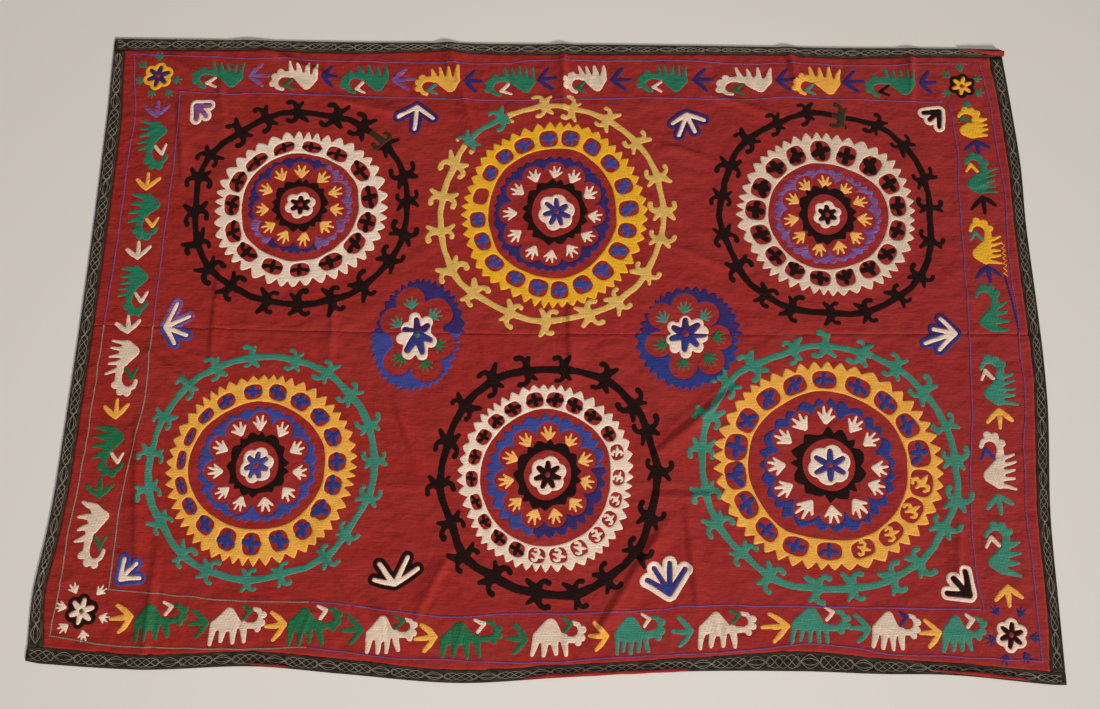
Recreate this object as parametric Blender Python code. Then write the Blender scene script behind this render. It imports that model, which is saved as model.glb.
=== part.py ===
"""Suzani: an embroidered cotton cloth lying face up on a floor.

Metres, +Z up. The origin is on the floor under the middle of the cloth, +X runs along its
length and +Y towards the edge that lies farther away. Sizes in the tables are millimetres.
"""
import math
from typing import NamedTuple

import bmesh
import bpy
from mathutils import Vector

MM = 0.001
COLLECTION = "suzani_embroidered_textile"

# Thicknesses and clearances, mm
GROUND_THICKNESS = 1.8    # red cotton with its embroidery and the cloth turned in behind it
TRIM_THICKNESS = 2.0      # woven cord band
CLEARANCE = 0.3           # between neighbouring pieces

# How finely the sheets are divided
COLUMNS = 60              # along the length, shared by panels and long bands
PANEL_ROWS = 19           # from the seam to the edge of each panel
BAND_ROWS = 2             # across a band
ROLL_STEPS = 16           # along a rolled edge

# Where the cloth's measured outline has the middle of its box, mm
MIDDLE_X = -3.0
MIDDLE_Y = -4.0


class EdgeStation(NamedTuple):
    """Where the trim begins and ends at one place along an edge, in mm."""

    along: float
    inner: float
    outer: float


class Fold(NamedTuple):
    """A soft ridge in the lying cloth, in mm: its two ends, height and half width."""

    x0: float
    y0: float
    x1: float
    y1: float
    height: float
    half_width: float


class RollStation(NamedTuple):
    """A place along a rolled-up piece of facing, in mm: its middle and half its breadth."""

    x: float
    y: float
    half: float


class SeamStation(NamedTuple):
    """A place on the seam between the two panels, in mm."""

    x: float
    y: float


# The wavy outline: along is X on the long edges and Y on the short ones
TOP_EDGE = [
    EdgeStation(along=-762, inner=487.5, outer=509.0),
    EdgeStation(along=-744, inner=487.5, outer=509.0),
    EdgeStation(along=-530, inner=490.0, outer=509.0),
    EdgeStation(along=-340, inner=488.0, outer=508.0),
    EdgeStation(along=-200, inner=493.5, outer=509.5),
    EdgeStation(along=-110, inner=489.5, outer=508.5),
    EdgeStation(along=90, inner=492.5, outer=510.0),
    EdgeStation(along=370, inner=495.2, outer=510.0),
    EdgeStation(along=470, inner=491.0, outer=509.5),
    EdgeStation(along=620, inner=495.5, outer=511.0),
    EdgeStation(along=721, inner=496.0, outer=511.0),
    EdgeStation(along=743, inner=496.0, outer=510.0),
]
BOTTOM_EDGE = [
    EdgeStation(along=-766, inner=-484.5, outer=-504.0),
    EdgeStation(along=-742, inner=-484.5, outer=-507.5),
    EdgeStation(along=-590, inner=-491.0, outer=-512.0),
    EdgeStation(along=-430, inner=-482.5, outer=-503.5),
    EdgeStation(along=-300, inner=-490.0, outer=-510.5),
    EdgeStation(along=-130, inner=-501.0, outer=-519.0),
    EdgeStation(along=20, inner=-490.5, outer=-508.0),
    EdgeStation(along=200, inner=-476.5, outer=-495.0),
    EdgeStation(along=375, inner=-463.0, outer=-490.5),
    EdgeStation(along=480, inner=-469.5, outer=-491.5),
    EdgeStation(along=590, inner=-473.5, outer=-490.5),
    EdgeStation(along=728, inner=-482.0, outer=-500.0),
    EdgeStation(along=750, inner=-482.0, outer=-500.0),
]
LEFT_EDGE = [
    EdgeStation(along=-484.5, inner=-742.0, outer=-766.0),
    EdgeStation(along=-410, inner=-751.0, outer=-769.0),
    EdgeStation(along=-320, inner=-742.0, outer=-761.0),
    EdgeStation(along=-240, inner=-736.5, outer=-757.0),
    EdgeStation(along=60, inner=-733.0, outer=-754.5),
    EdgeStation(along=360, inner=-734.0, outer=-757.5),
    EdgeStation(along=430, inner=-740.0, outer=-760.0),
    EdgeStation(along=487.5, inner=-744.0, outer=-762.0),
]
RIGHT_EDGE = [
    EdgeStation(along=-482, inner=728.0, outer=750.0),
    EdgeStation(along=-400, inner=732.0, outer=750.0),
    EdgeStation(along=-260, inner=731.0, outer=750.5),
    EdgeStation(along=-110, inner=740.5, outer=761.5),
    EdgeStation(along=-30, inner=744.5, outer=763.0),
    EdgeStation(along=60, inner=741.0, outer=761.0),
    EdgeStation(along=200, inner=736.5, outer=756.0),
    EdgeStation(along=300, inner=736.5, outer=756.5),
    EdgeStation(along=400, inner=730.0, outer=750.5),
    EdgeStation(along=496, inner=721.0, outer=743.0),
]

# The seam between the two panels, where the halves of the motifs on it don't quite meet
SEAM = [
    SeamStation(x=-734, y=5.0),
    SeamStation(x=-600, y=3.5),
    SeamStation(x=-215, y=2.0),
    SeamStation(x=212, y=8.0),
    SeamStation(x=610, y=16.5),
    SeamStation(x=743, y=18.0),
]

# The main folds, from the far edge to the near one
FOLDS = [
    Fold(x0=-560, y0=515, x1=-350, y1=425, height=3.4, half_width=26),
    Fold(x0=-672, y0=485, x1=-585, y1=415, height=2.6, half_width=24),
    Fold(x0=-200, y0=540, x1=-135, y1=330, height=4.6, half_width=26),
    Fold(x0=-400, y0=405, x1=-240, y1=372, height=2.8, half_width=24),
    Fold(x0=-575, y0=440, x1=-552, y1=330, height=2.6, half_width=24),
    Fold(x0=-640, y0=400, x1=-612, y1=240, height=2.4, half_width=24),
    Fold(x0=4, y0=540, x1=9, y1=370, height=3.2, half_width=24),
    Fold(x0=380, y0=530, x1=400, y1=430, height=2.8, half_width=24),
    Fold(x0=592, y0=530, x1=585, y1=400, height=2.6, half_width=24),
    Fold(x0=228, y0=428, x1=372, y1=380, height=3.0, half_width=24),
    Fold(x0=165, y0=330, x1=262, y1=300, height=2.4, half_width=24),
    Fold(x0=160, y0=165, x1=280, y1=115, height=2.4, half_width=24),
    Fold(x0=585, y0=150, x1=672, y1=60, height=2.4, half_width=24),
    Fold(x0=-540, y0=120, x1=-538, y1=-70, height=2.2, half_width=22),
    Fold(x0=-352, y0=80, x1=-350, y1=-60, height=2.2, half_width=22),
    Fold(x0=24, y0=60, x1=30, y1=-80, height=3.0, half_width=24),
    Fold(x0=-665, y0=-20, x1=-540, y1=-110, height=2.6, half_width=26),
    Fold(x0=-248, y0=-95, x1=-205, y1=-200, height=2.6, half_width=24),
    Fold(x0=150, y0=-190, x1=300, y1=-65, height=3.8, half_width=28),
    Fold(x0=-645, y0=-130, x1=-612, y1=-400, height=4.4, half_width=27),
    Fold(x0=-588, y0=-320, x1=-592, y1=-540, height=3.6, half_width=24),
    Fold(x0=-362, y0=-300, x1=-262, y1=-440, height=4.6, half_width=26),
    Fold(x0=-272, y0=-400, x1=-190, y1=-480, height=4.2, half_width=26),
    Fold(x0=-200, y0=-440, x1=-140, y1=-320, height=3.0, half_width=24),
    Fold(x0=60, y0=-470, x1=185, y1=-270, height=3.6, half_width=25),
    Fold(x0=205, y0=-250, x1=225, y1=-420, height=2.4, half_width=24),
    Fold(x0=615, y0=-270, x1=600, y1=-380, height=2.4, half_width=24),
    Fold(x0=-270, y0=-238, x1=-170, y1=-238, height=1.6, half_width=24),
    Fold(x0=140, y0=-243, x1=265, y1=-243, height=1.6, half_width=24),
]

# Red facing that has rolled up over the trim's outer margin, one table for each place
ROLLS = {
    "facing_roll_top_right": [
        RollStation(x=675, y=509.5, half=1.0),
        RollStation(x=700, y=506.0, half=3.0),
        RollStation(x=722, y=502.0, half=4.2),
        RollStation(x=745, y=500.5, half=5.0),
    ],
    "facing_roll_bottom_left": [
        RollStation(x=-442, y=-499.0, half=0.8),
        RollStation(x=-408, y=-500.5, half=2.0),
        RollStation(x=-375, y=-502.5, half=0.8),
    ],
    "facing_roll_bottom_middle": [
        RollStation(x=-33, y=-509.5, half=0.8),
        RollStation(x=10, y=-505.2, half=3.0),
        RollStation(x=100, y=-498.8, half=2.8),
        RollStation(x=190, y=-493.2, half=2.2),
        RollStation(x=210, y=-491.8, half=0.8),
    ],
    "facing_roll_bottom_right": [
        RollStation(x=560, y=-484.2, half=0.8),
        RollStation(x=620, y=-487.0, half=3.0),
        RollStation(x=680, y=-492.0, half=2.2),
        RollStation(x=696, y=-494.5, half=0.8),
    ],
}
ROLL_FLATNESS = 0.7       # height of a roll as a share of its breadth

# Colour and roughness of each material
RED_COTTON = ((0.30, 0.014, 0.016), 0.88)
TRIM_WEAVE = ((0.045, 0.042, 0.028), 0.85)
RED_FACING = ((0.33, 0.022, 0.024), 0.90)


def lerp(start, end, share):
    """The value that lies this share of the way from start to end."""
    return start + (end - start) * share


def smooth_table(rows, key, value, at):
    """A table's value at one place, on the smooth curve through its rows.

    Each stretch is a cubic with the neighbouring rows' slope at its ends, and the first and
    last rows hold beyond the table's ends.
    """
    keys = [getattr(row, key) for row in rows]
    values = [getattr(row, value) for row in rows]
    if at <= keys[0]:
        return values[0]
    if at >= keys[-1]:
        return values[-1]
    slopes = []
    for index in range(len(keys)):
        before = max(index - 1, 0)
        after = min(index + 1, len(keys) - 1)
        slopes.append((values[after] - values[before]) / (keys[after] - keys[before]))
    cell = max(index for index in range(len(keys) - 1) if keys[index] <= at)
    span = keys[cell + 1] - keys[cell]
    t = (at - keys[cell]) / span
    rise = values[cell + 1] - values[cell]
    bend = t * (1 - t) ** 2 * (slopes[cell] * span) - t * t * (1 - t) * (slopes[cell + 1] * span)
    return values[cell] + rise * t * t * (3 - 2 * t) + bend


def fold_height(x, y):
    """Height in mm of the cloth's underside above the floor, from the folds that cross here."""
    height = 0.0
    for fold in FOLDS:
        run_x = fold.x1 - fold.x0
        run_y = fold.y1 - fold.y0
        length = math.hypot(run_x, run_y)
        share = ((x - fold.x0) * run_x + (y - fold.y0) * run_y) / length ** 2
        aside = abs((x - fold.x0) * run_y - (y - fold.y0) * run_x) / length
        if 0 < share < 1 and aside < fold.half_width:
            across = math.cos(0.5 * math.pi * aside / fold.half_width) ** 2
            along = 1 - abs(2 * share - 1) ** 3
            height = max(height, fold.height * across * along)
    return height


def long_side(rows, which):
    """A long edge of the panels as a curve over 0 to 1, from left to right."""
    start = rows[1].along
    end = rows[-2].along

    def curve(share):
        x = lerp(start, end, share)
        return Vector((x, smooth_table(rows, "along", which, x)))
    return curve


def short_side(rows, which, from_y, to_y):
    """A short edge as a curve over 0 to 1, upwards from one Y to another."""
    def curve(share):
        y = lerp(from_y, to_y, share)
        return Vector((smooth_table(rows, "along", which, y), y))
    return curve


def seam_side(left, right, offset):
    """The seam as a curve over 0 to 1, from the left edge to the right, moved by an offset in Y."""
    def curve(share):
        x = lerp(left.x, right.x, share)
        return Vector((x, smooth_table(SEAM, "x", "y", x) + offset))
    return curve


def blend_sides(bottom, top, left, right):
    """A map from the unit square onto the area that four meeting edge curves close in."""
    corners = (bottom(0), bottom(1), top(0), top(1))

    def place(u, v):
        across = lerp(bottom(u), top(u), v)
        upwards = lerp(left(v), right(v), u)
        flat = lerp(lerp(corners[0], corners[1], u), lerp(corners[2], corners[3], u), v)
        return across + upwards - flat
    return place


def make_material(name, colour, roughness):
    """A Principled material of one colour."""
    material = bpy.data.materials.new(name)
    material.use_nodes = True
    shader = material.node_tree.nodes["Principled BSDF"]
    shader.inputs["Base Color"].default_value = (*colour, 1.0)
    shader.inputs["Roughness"].default_value = roughness
    shader.inputs["Metallic"].default_value = 0.0
    return material


def closed_sheet(name, place, columns, rows, thickness, finish, collection):
    """A closed sheet of even thickness whose underside follows the folds.

    A flat grid is laid over the area that place maps the unit square to. It is then drawn up
    to its thickness, and every point is lifted by the fold height above the floor there.
    """
    shape = bmesh.new()
    bmesh.ops.create_grid(shape, x_segments=columns, y_segments=rows, size=0.5)
    for point in shape.verts:
        spot = place(point.co.x + 0.5, point.co.y + 0.5)
        point.co = Vector((spot.x, spot.y, 0.0))
    drawn = bmesh.ops.extrude_face_region(shape, geom=shape.faces[:])
    upper = [item for item in drawn["geom"] if isinstance(item, bmesh.types.BMVert)]
    bmesh.ops.translate(shape, verts=upper, vec=(0.0, 0.0, thickness))
    for point in shape.verts:
        lift = fold_height(point.co.x, point.co.y)
        point.co = Vector((point.co.x - MIDDLE_X, point.co.y - MIDDLE_Y, point.co.z + lift)) * MM
    bmesh.ops.recalc_face_normals(shape, faces=shape.faces[:])
    mesh = bpy.data.meshes.new(name)
    shape.to_mesh(mesh)
    shape.free()
    colour, roughness = finish
    mesh.materials.append(make_material(name + "_cloth", colour, roughness))
    sheet = bpy.data.objects.new(name, mesh)
    collection.objects.link(sheet)
    return sheet


def make_panels(collection):
    """The two red cotton panels, joined by the seam that runs along the cloth."""
    bottom = long_side(BOTTOM_EDGE, "inner")
    top = long_side(TOP_EDGE, "inner")
    half_gap = CLEARANCE / 2
    seam_left = Vector((smooth_table(LEFT_EDGE, "along", "inner", SEAM[0].y), SEAM[0].y))
    seam_right = Vector((smooth_table(RIGHT_EDGE, "along", "inner", SEAM[-1].y), SEAM[-1].y))
    below = seam_side(seam_left, seam_right, -half_gap)
    above = seam_side(seam_left, seam_right, half_gap)
    lower = blend_sides(
        bottom, below,
        short_side(LEFT_EDGE, "inner", bottom(0).y, below(0).y),
        short_side(RIGHT_EDGE, "inner", bottom(1).y, below(1).y))
    upper = blend_sides(
        above, top,
        short_side(LEFT_EDGE, "inner", above(0).y, top(0).y),
        short_side(RIGHT_EDGE, "inner", above(1).y, top(1).y))
    closed_sheet("panel_lower", lower, COLUMNS, PANEL_ROWS, GROUND_THICKNESS, RED_COTTON, collection)
    closed_sheet("panel_upper", upper, COLUMNS, PANEL_ROWS, GROUND_THICKNESS, RED_COTTON, collection)


def along_stations(rows, columns):
    """Shares of a long band's length: its two corner squares and the panels' columns between."""
    inside = [lerp(rows[1].along, rows[-2].along, index / columns) for index in range(columns + 1)]
    return [rows[0].along] + inside + [rows[-1].along]


def long_band(rows, outward):
    """A map from the unit square onto a long trim band, from its panel side to its outer edge."""
    stations = along_stations(rows, COLUMNS)

    def place(u, v):
        x = stations[round(u * (len(stations) - 1))]
        inner = smooth_table(rows, "along", "inner", x) + outward * CLEARANCE
        outer = smooth_table(rows, "along", "outer", x)
        return Vector((x, lerp(inner, outer, v)))
    return place


def short_band(rows, outward, seam_at):
    """A map from the unit square onto a short trim band that stands between the long ones."""
    below = [lerp(rows[0].along, seam_at, index / PANEL_ROWS) for index in range(PANEL_ROWS)]
    above = [lerp(seam_at, rows[-1].along, index / PANEL_ROWS) for index in range(PANEL_ROWS + 1)]
    stations = below + above

    def place(u, v):
        y = stations[round(v * (len(stations) - 1))]
        inner = smooth_table(rows, "along", "inner", y) + outward * CLEARANCE
        outer = smooth_table(rows, "along", "outer", y)
        return Vector((lerp(inner, outer, u), y))
    return place


def make_trim(collection):
    """The four lengths of woven band: the long ones run into the corners, the short ones butt."""
    for name, rows, outward in (("trim_bottom", BOTTOM_EDGE, -1), ("trim_top", TOP_EDGE, 1)):
        closed_sheet(name, long_band(rows, outward), COLUMNS + 2, BAND_ROWS, TRIM_THICKNESS,
                     TRIM_WEAVE, collection)
    for name, rows, outward, seam_at in (("trim_left", LEFT_EDGE, -1, SEAM[0].y),
                                         ("trim_right", RIGHT_EDGE, 1, SEAM[-1].y)):
        closed_sheet(name, short_band(rows, outward, seam_at), BAND_ROWS, 2 * PANEL_ROWS,
                     TRIM_THICKNESS, TRIM_WEAVE, collection)


def make_roll(name, rows, collection):
    """A tapered roll of the red facing, lying on the trim's outer margin."""
    curve = bpy.data.curves.new(name, "CURVE")
    curve.dimensions = "3D"
    curve.bevel_depth = 1.0 * MM
    curve.bevel_resolution = 2
    curve.use_fill_caps = True
    spline = curve.splines.new("POLY")
    spline.points.add(ROLL_STEPS)
    for index, point in enumerate(spline.points):
        x = lerp(rows[0].x, rows[-1].x, index / ROLL_STEPS)
        y = smooth_table(rows, "x", "y", x)
        half = smooth_table(rows, "x", "half", x)
        under = fold_height(x, y) + TRIM_THICKNESS + CLEARANCE
        middle = under / ROLL_FLATNESS + half
        point.co = ((x - MIDDLE_X) * MM, (y - MIDDLE_Y) * MM, middle * MM, 1.0)
        point.radius = half
    colour, roughness = RED_FACING
    curve.materials.append(make_material(name + "_cloth", colour, roughness))
    roll = bpy.data.objects.new(name, curve)
    roll.scale = (1.0, 1.0, ROLL_FLATNESS)
    collection.objects.link(roll)


def main():
    """Builds every piece of the cloth in a collection of its own."""
    for old in list(bpy.data.objects):
        bpy.data.objects.remove(old, do_unlink=True)
    collection = bpy.data.collections.new(COLLECTION)
    bpy.context.scene.collection.children.link(collection)
    make_panels(collection)
    make_trim(collection)
    for name, rows in ROLLS.items():
        make_roll(name, rows, collection)


main()
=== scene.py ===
"""The looks of a suzani: a red cotton cloth with silk embroidery and a woven edge band.

The cloth lies face up on a floor. Tables and shapes are in millimetres in the plan in which the
cloth was measured: x to the right along its length and y to its far edge. Two numbers,
MIDDLE_X and MIDDLE_Y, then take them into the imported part's frame. The lie of the cloth and its
outline repeat the sizes of the part's own solids.

Every embroidered shape is drawn as stitches over a fine lattice. Each thread colour has a field
with the depth inside its stitches, and a raised patch is cut from the lattice where that depth
is positive. The patches follow the cloth, so they rise over its folds with it.
"""

import logging
import math
from dataclasses import dataclass, field
from enum import Enum
from typing import Any, Callable, Dict, Iterable, List, NamedTuple, Optional, Sequence, Tuple

import bpy
import numpy as np
from mathutils import Euler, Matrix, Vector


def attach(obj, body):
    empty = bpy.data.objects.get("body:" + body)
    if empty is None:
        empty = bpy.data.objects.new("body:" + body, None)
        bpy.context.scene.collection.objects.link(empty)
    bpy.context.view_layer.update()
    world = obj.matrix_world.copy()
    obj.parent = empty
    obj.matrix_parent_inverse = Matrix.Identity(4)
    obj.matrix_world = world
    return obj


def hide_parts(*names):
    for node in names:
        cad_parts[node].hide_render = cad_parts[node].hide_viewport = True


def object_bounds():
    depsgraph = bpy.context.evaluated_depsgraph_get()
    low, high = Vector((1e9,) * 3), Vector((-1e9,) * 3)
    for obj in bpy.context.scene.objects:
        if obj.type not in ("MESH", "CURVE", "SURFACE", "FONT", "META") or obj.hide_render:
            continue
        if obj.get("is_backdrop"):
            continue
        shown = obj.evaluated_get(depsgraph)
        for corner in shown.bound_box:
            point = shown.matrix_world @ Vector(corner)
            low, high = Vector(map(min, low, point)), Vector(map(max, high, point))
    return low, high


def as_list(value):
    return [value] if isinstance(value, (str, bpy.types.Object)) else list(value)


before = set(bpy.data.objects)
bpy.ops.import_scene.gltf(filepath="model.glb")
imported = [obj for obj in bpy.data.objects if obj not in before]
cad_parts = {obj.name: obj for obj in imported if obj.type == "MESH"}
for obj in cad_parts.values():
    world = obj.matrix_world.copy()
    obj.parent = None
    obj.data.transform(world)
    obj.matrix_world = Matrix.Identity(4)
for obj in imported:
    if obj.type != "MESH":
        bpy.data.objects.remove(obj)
CAD_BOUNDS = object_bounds()

Array = np.ndarray
Point = Tuple[float, float]
Tree = bpy.types.NodeTree
Socket = bpy.types.NodeSocket
Material = bpy.types.Material
Pieces = List[bpy.types.Object]
log = logging.getLogger("suzani")

MM = 0.001

# Where the measured outline has the middle of its box, mm
MIDDLE_X = -3.0
MIDDLE_Y = -4.0

# Thicknesses and clearances, mm
GROUND_THICKNESS = 1.8
TRIM_THICKNESS = 2.0
CLEARANCE = 0.3
THINNEST = 0.4            # of the ground, at the bottom of a crease

# How finely things are divided, mm
PANEL_STEP = 3.9          # cells of the cloth
STITCH_STEP = 1.6         # lattice of the embroidery
BAND_STEP = 5.0           # cells along a band

STITCH_SINK = 0.25        # how far the rims of the stitches lie under the cloth's face, mm
FAR_OUTSIDE = -60.0       # depth, mm, where no stitch is near

# Where the bands begin, about, mm
FAR_Y = 492.0
NEAR_Y = -486.0
END_X = 738.0


class EdgeStation(NamedTuple):
    """Where the trim begins and ends at one place along an edge, in mm."""

    along: float
    inner: float
    outer: float


class Fold(NamedTuple):
    """A soft ridge in the lying cloth, in mm: its two ends, height and half width."""

    x0: float
    y0: float
    x1: float
    y1: float
    height: float
    half_width: float


class RollStation(NamedTuple):
    """A place along a rolled-up piece of facing, in mm: its middle and half its breadth."""

    x: float
    y: float
    half: float


class SeamStation(NamedTuple):
    """A place on the seam between the two panels, in mm."""

    x: float
    y: float


class LineStation(NamedTuple):
    """A place on a border line: along its side, and across it, in mm."""

    along: float
    across: float


# The wavy outline: along is X on the long edges and Y on the short ones
TOP_EDGE = [EdgeStation(*row) for row in (    # along, inner, outer
    (-762, 487.5, 509.0), (-744, 487.5, 509.0), (-530, 490.0, 509.0), (-340, 488.0, 508.0),
    (-200, 493.5, 509.5), (-110, 489.5, 508.5), (90, 492.5, 510.0), (370, 495.2, 510.0),
    (470, 491.0, 509.5), (620, 495.5, 511.0), (721, 496.0, 511.0), (743, 496.0, 510.0),
)]
BOTTOM_EDGE = [EdgeStation(*row) for row in (    # along, inner, outer
    (-766, -484.5, -504.0), (-742, -484.5, -507.5), (-590, -491.0, -512.0), (-430, -482.5, -503.5),
    (-300, -490.0, -510.5), (-130, -501.0, -519.0), (20, -490.5, -508.0), (200, -476.5, -495.0),
    (375, -463.0, -490.5), (480, -469.5, -491.5), (590, -473.5, -490.5), (728, -482.0, -500.0),
    (750, -482.0, -500.0),
)]
LEFT_EDGE = [EdgeStation(*row) for row in (    # along, inner, outer
    (-484.5, -742.0, -766.0), (-410, -751.0, -769.0), (-320, -742.0, -761.0),
    (-240, -736.5, -757.0), (60, -733.0, -754.5), (360, -734.0, -757.5), (430, -740.0, -760.0),
    (487.5, -744.0, -762.0),
)]
RIGHT_EDGE = [EdgeStation(*row) for row in (    # along, inner, outer
    (-482, 728.0, 750.0), (-400, 732.0, 750.0), (-260, 731.0, 750.5), (-110, 740.5, 761.5),
    (-30, 744.5, 763.0), (60, 741.0, 761.0), (200, 736.5, 756.0), (300, 736.5, 756.5),
    (400, 730.0, 750.5), (496, 721.0, 743.0),
)]

# The seam between the two panels, where the halves of the motifs on it don't quite meet
SEAM = [SeamStation(*row) for row in (    # x, y
    (-734, 5.0), (-600, 3.5), (-215, 2.0), (212, 8.0), (610, 16.5), (743, 18.0),
)]

# The main folds, which the part's solids have too
FOLDS = [Fold(*row) for row in (    # x0, y0, x1, y1, height, half_width
    (-560, 515, -350, 425, 3.4, 26), (-672, 485, -585, 415, 2.6, 24),
    (-200, 540, -135, 330, 4.6, 26), (-400, 405, -240, 372, 2.8, 24),
    (-575, 440, -552, 330, 2.6, 24), (-640, 400, -612, 240, 2.4, 24), (4, 540, 9, 370, 3.2, 24),
    (380, 530, 400, 430, 2.8, 24), (592, 530, 585, 400, 2.6, 24), (228, 428, 372, 380, 3.0, 24),
    (165, 330, 262, 300, 2.4, 24), (160, 165, 280, 115, 2.4, 24), (585, 150, 672, 60, 2.4, 24),
    (-540, 120, -538, -70, 2.2, 22), (-352, 80, -350, -60, 2.2, 22), (24, 60, 30, -80, 3.0, 24),
    (-665, -20, -540, -110, 2.6, 26), (-248, -95, -205, -200, 2.6, 24),
    (150, -190, 300, -65, 3.8, 28), (-645, -130, -612, -400, 4.4, 27),
    (-588, -320, -592, -540, 3.6, 24), (-362, -300, -262, -440, 4.6, 26),
    (-272, -400, -190, -480, 4.2, 26), (-200, -440, -140, -320, 3.0, 24),
    (60, -470, 185, -270, 3.6, 25), (205, -250, 225, -420, 2.4, 24),
    (615, -270, 600, -380, 2.4, 24), (-270, -238, -170, -238, 1.6, 24),
    (140, -243, 265, -243, 1.6, 24),
)]

# Fine creases, too small for the solids: a negative height is a trough
CREASES = [Fold(*row) for row in (    # x0, y0, x1, y1, height, half_width
    (7, 500, 9, 392, 1.1, 8), (16, 60, 22, -60, -1.0, 8), (20, -545, 30, -440, 1.2, 10),
    (-517, 45, -515, -30, -0.9, 8), (-342, 40, -341, -20, -0.9, 8), (-355, 480, -352, 420, 1.0, 8),
    (-190, 510, -186, 430, 1.1, 9), (-350, 395, -280, 380, -1.0, 8),
    (-565, 415, -555, 350, -1.0, 8), (190, 335, 250, 315, 1.0, 8), (172, 300, 250, 262, 1.0, 8),
    (-620, -60, -560, -62, 0.9, 8), (-625, -75, -570, -108, 0.9, 8),
    (200, -130, 260, -90, -1.0, 8), (190, -165, 240, -120, 1.1, 8), (130, -330, 200, -290, 1.0, 8),
    (95, -420, 150, -330, -1.1, 9), (560, 258, 740, 257, -0.8, 7),
    (-250, -236, -190, -236, -0.9, 7), (150, -240, 240, -241, -0.9, 7),
    (-494, 2, -424, 20, -0.9, 7), (-148, 19, -96, 13, -1.0, 7), (44, 12, 142, 12, -1.0, 7),
    (288, 14, 402, 10, -1.0, 7), (476, 1, 584, -3, -1.1, 7), (-560, 17, -438, 17, -0.7, 7),
    (385, 508, 392, 455, 1.0, 9), (590, 508, 588, 450, 1.0, 9),
)]

# Red facing that has rolled up over the trim's outer margin, one table for each place
ROLLS = {name: [RollStation(*row) for row in rows] for name, rows in (    # x, y, half
    ("facing_roll_top_right", (
        (675, 509.5, 1.0), (700, 506.0, 3.0), (722, 502.0, 4.2), (745, 500.5, 5.0))),
    ("facing_roll_bottom_left", (
        (-442, -499.0, 0.8), (-408, -500.5, 2.0), (-375, -502.5, 0.8))),
    ("facing_roll_bottom_middle", (
        (-33, -509.5, 0.8), (10, -505.2, 3.0), (100, -498.8, 2.8), (190, -493.2, 2.2),
        (210, -491.8, 0.8))),
    ("facing_roll_bottom_right", (
        (560, -484.2, 0.8), (620, -487.0, 3.0), (680, -492.0, 2.2), (696, -494.5, 0.8))),
)}
ROLL_FLATNESS = 0.7


def smooth_table(rows: Sequence[Any], key: str, value: str, at: Array) -> Array:
    """A table's values on the smooth curve through its rows.

    Args:
        rows: the table, in rising order of key.
        key: the column that at is read against.
        value: the column that is wanted.
        at: the places.

    Returns:
        The values there. The first and last rows hold beyond the table's ends.
    """
    keys = np.array([getattr(row, key) for row in rows], float)
    values = np.array([getattr(row, value) for row in rows], float)
    before = np.maximum(np.arange(len(keys)) - 1, 0)
    after = np.minimum(np.arange(len(keys)) + 1, len(keys) - 1)
    slopes = (values[after] - values[before]) / (keys[after] - keys[before])
    at = np.clip(np.asarray(at, float), keys[0], keys[-1])
    cell = np.clip(np.searchsorted(keys, at, side="right") - 1, 0, len(keys) - 2)
    span = keys[cell + 1] - keys[cell]
    t = (at - keys[cell]) / span
    rise = values[cell + 1] - values[cell]
    start_bend = t * (1 - t) ** 2 * slopes[cell] * span
    end_bend = t * t * (1 - t) * slopes[cell + 1] * span
    return values[cell] + rise * t * t * (3 - 2 * t) + start_bend - end_bend


def seam_y(x: Array) -> Array:
    """Y of the seam between the panels at each X, in mm."""
    return smooth_table(SEAM, "x", "y", x)


def between(table: Array, rows: Tuple[Array, Array], columns: Tuple[Array, Array],
            share: Tuple[Array, Array]) -> Array:
    """Values between a table's points.

    Args:
        table: the table.
        rows: numbers of the rows below and above each place.
        columns: numbers of the columns left and right of it.
        share: how far it lies from the left one to the right one, and from below to above.

    Returns:
        The values.
    """
    u, v = share
    low, high = (table[row, columns[0]] * (1 - u) + table[row, columns[1]] * u for row in rows)
    return low * (1 - v) + high * v


def span(low: float, high: float, start: float, step: float) -> slice:
    """The points of an even row that a stretch takes in.

    Args:
        low: where the stretch begins.
        high: where it ends.
        start: the row's first point.
        step: from point to point.

    Returns:
        Their numbers, and one or two more at its end.
    """
    return slice(max(int((low - start) // step), 0), max(int((high - start) // step) + 2, 0))


class SmoothNoise:
    """Seeded noise from -1 to 1 that changes over about one size in mm."""

    TABLE_SIZE = 64
    START = (31.3, 31.7)     # keeps the cloth's middle off the table's corner

    def __init__(self, size: float, seed: int) -> None:
        """Draws the table of values that the noise runs through.

        Args:
            size: from value to value, mm.
            seed: of its values.
        """
        self.size = size
        shape = (self.TABLE_SIZE, self.TABLE_SIZE)
        self.values = np.random.default_rng(seed).uniform(-1.0, 1.0, shape)

    def __call__(self, x: Array, y: Array) -> Array:
        """The noise at each place.

        Args:
            x: the places' X, mm.
            y: their Y.

        Returns:
            The values there.
        """
        across = np.asarray(x, float) / self.size + self.START[0]
        upward = np.asarray(y, float) / self.size + self.START[1]
        column = np.floor(across).astype(int)
        row = np.floor(upward).astype(int)
        u = across - column
        v = upward - row
        u = u * u * (3 - 2 * u)
        v = v * v * (3 - 2 * v)
        last = self.TABLE_SIZE
        return between(self.values, (row % last, (row + 1) % last),
                       (column % last, (column + 1) % last), (u, v))


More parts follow.
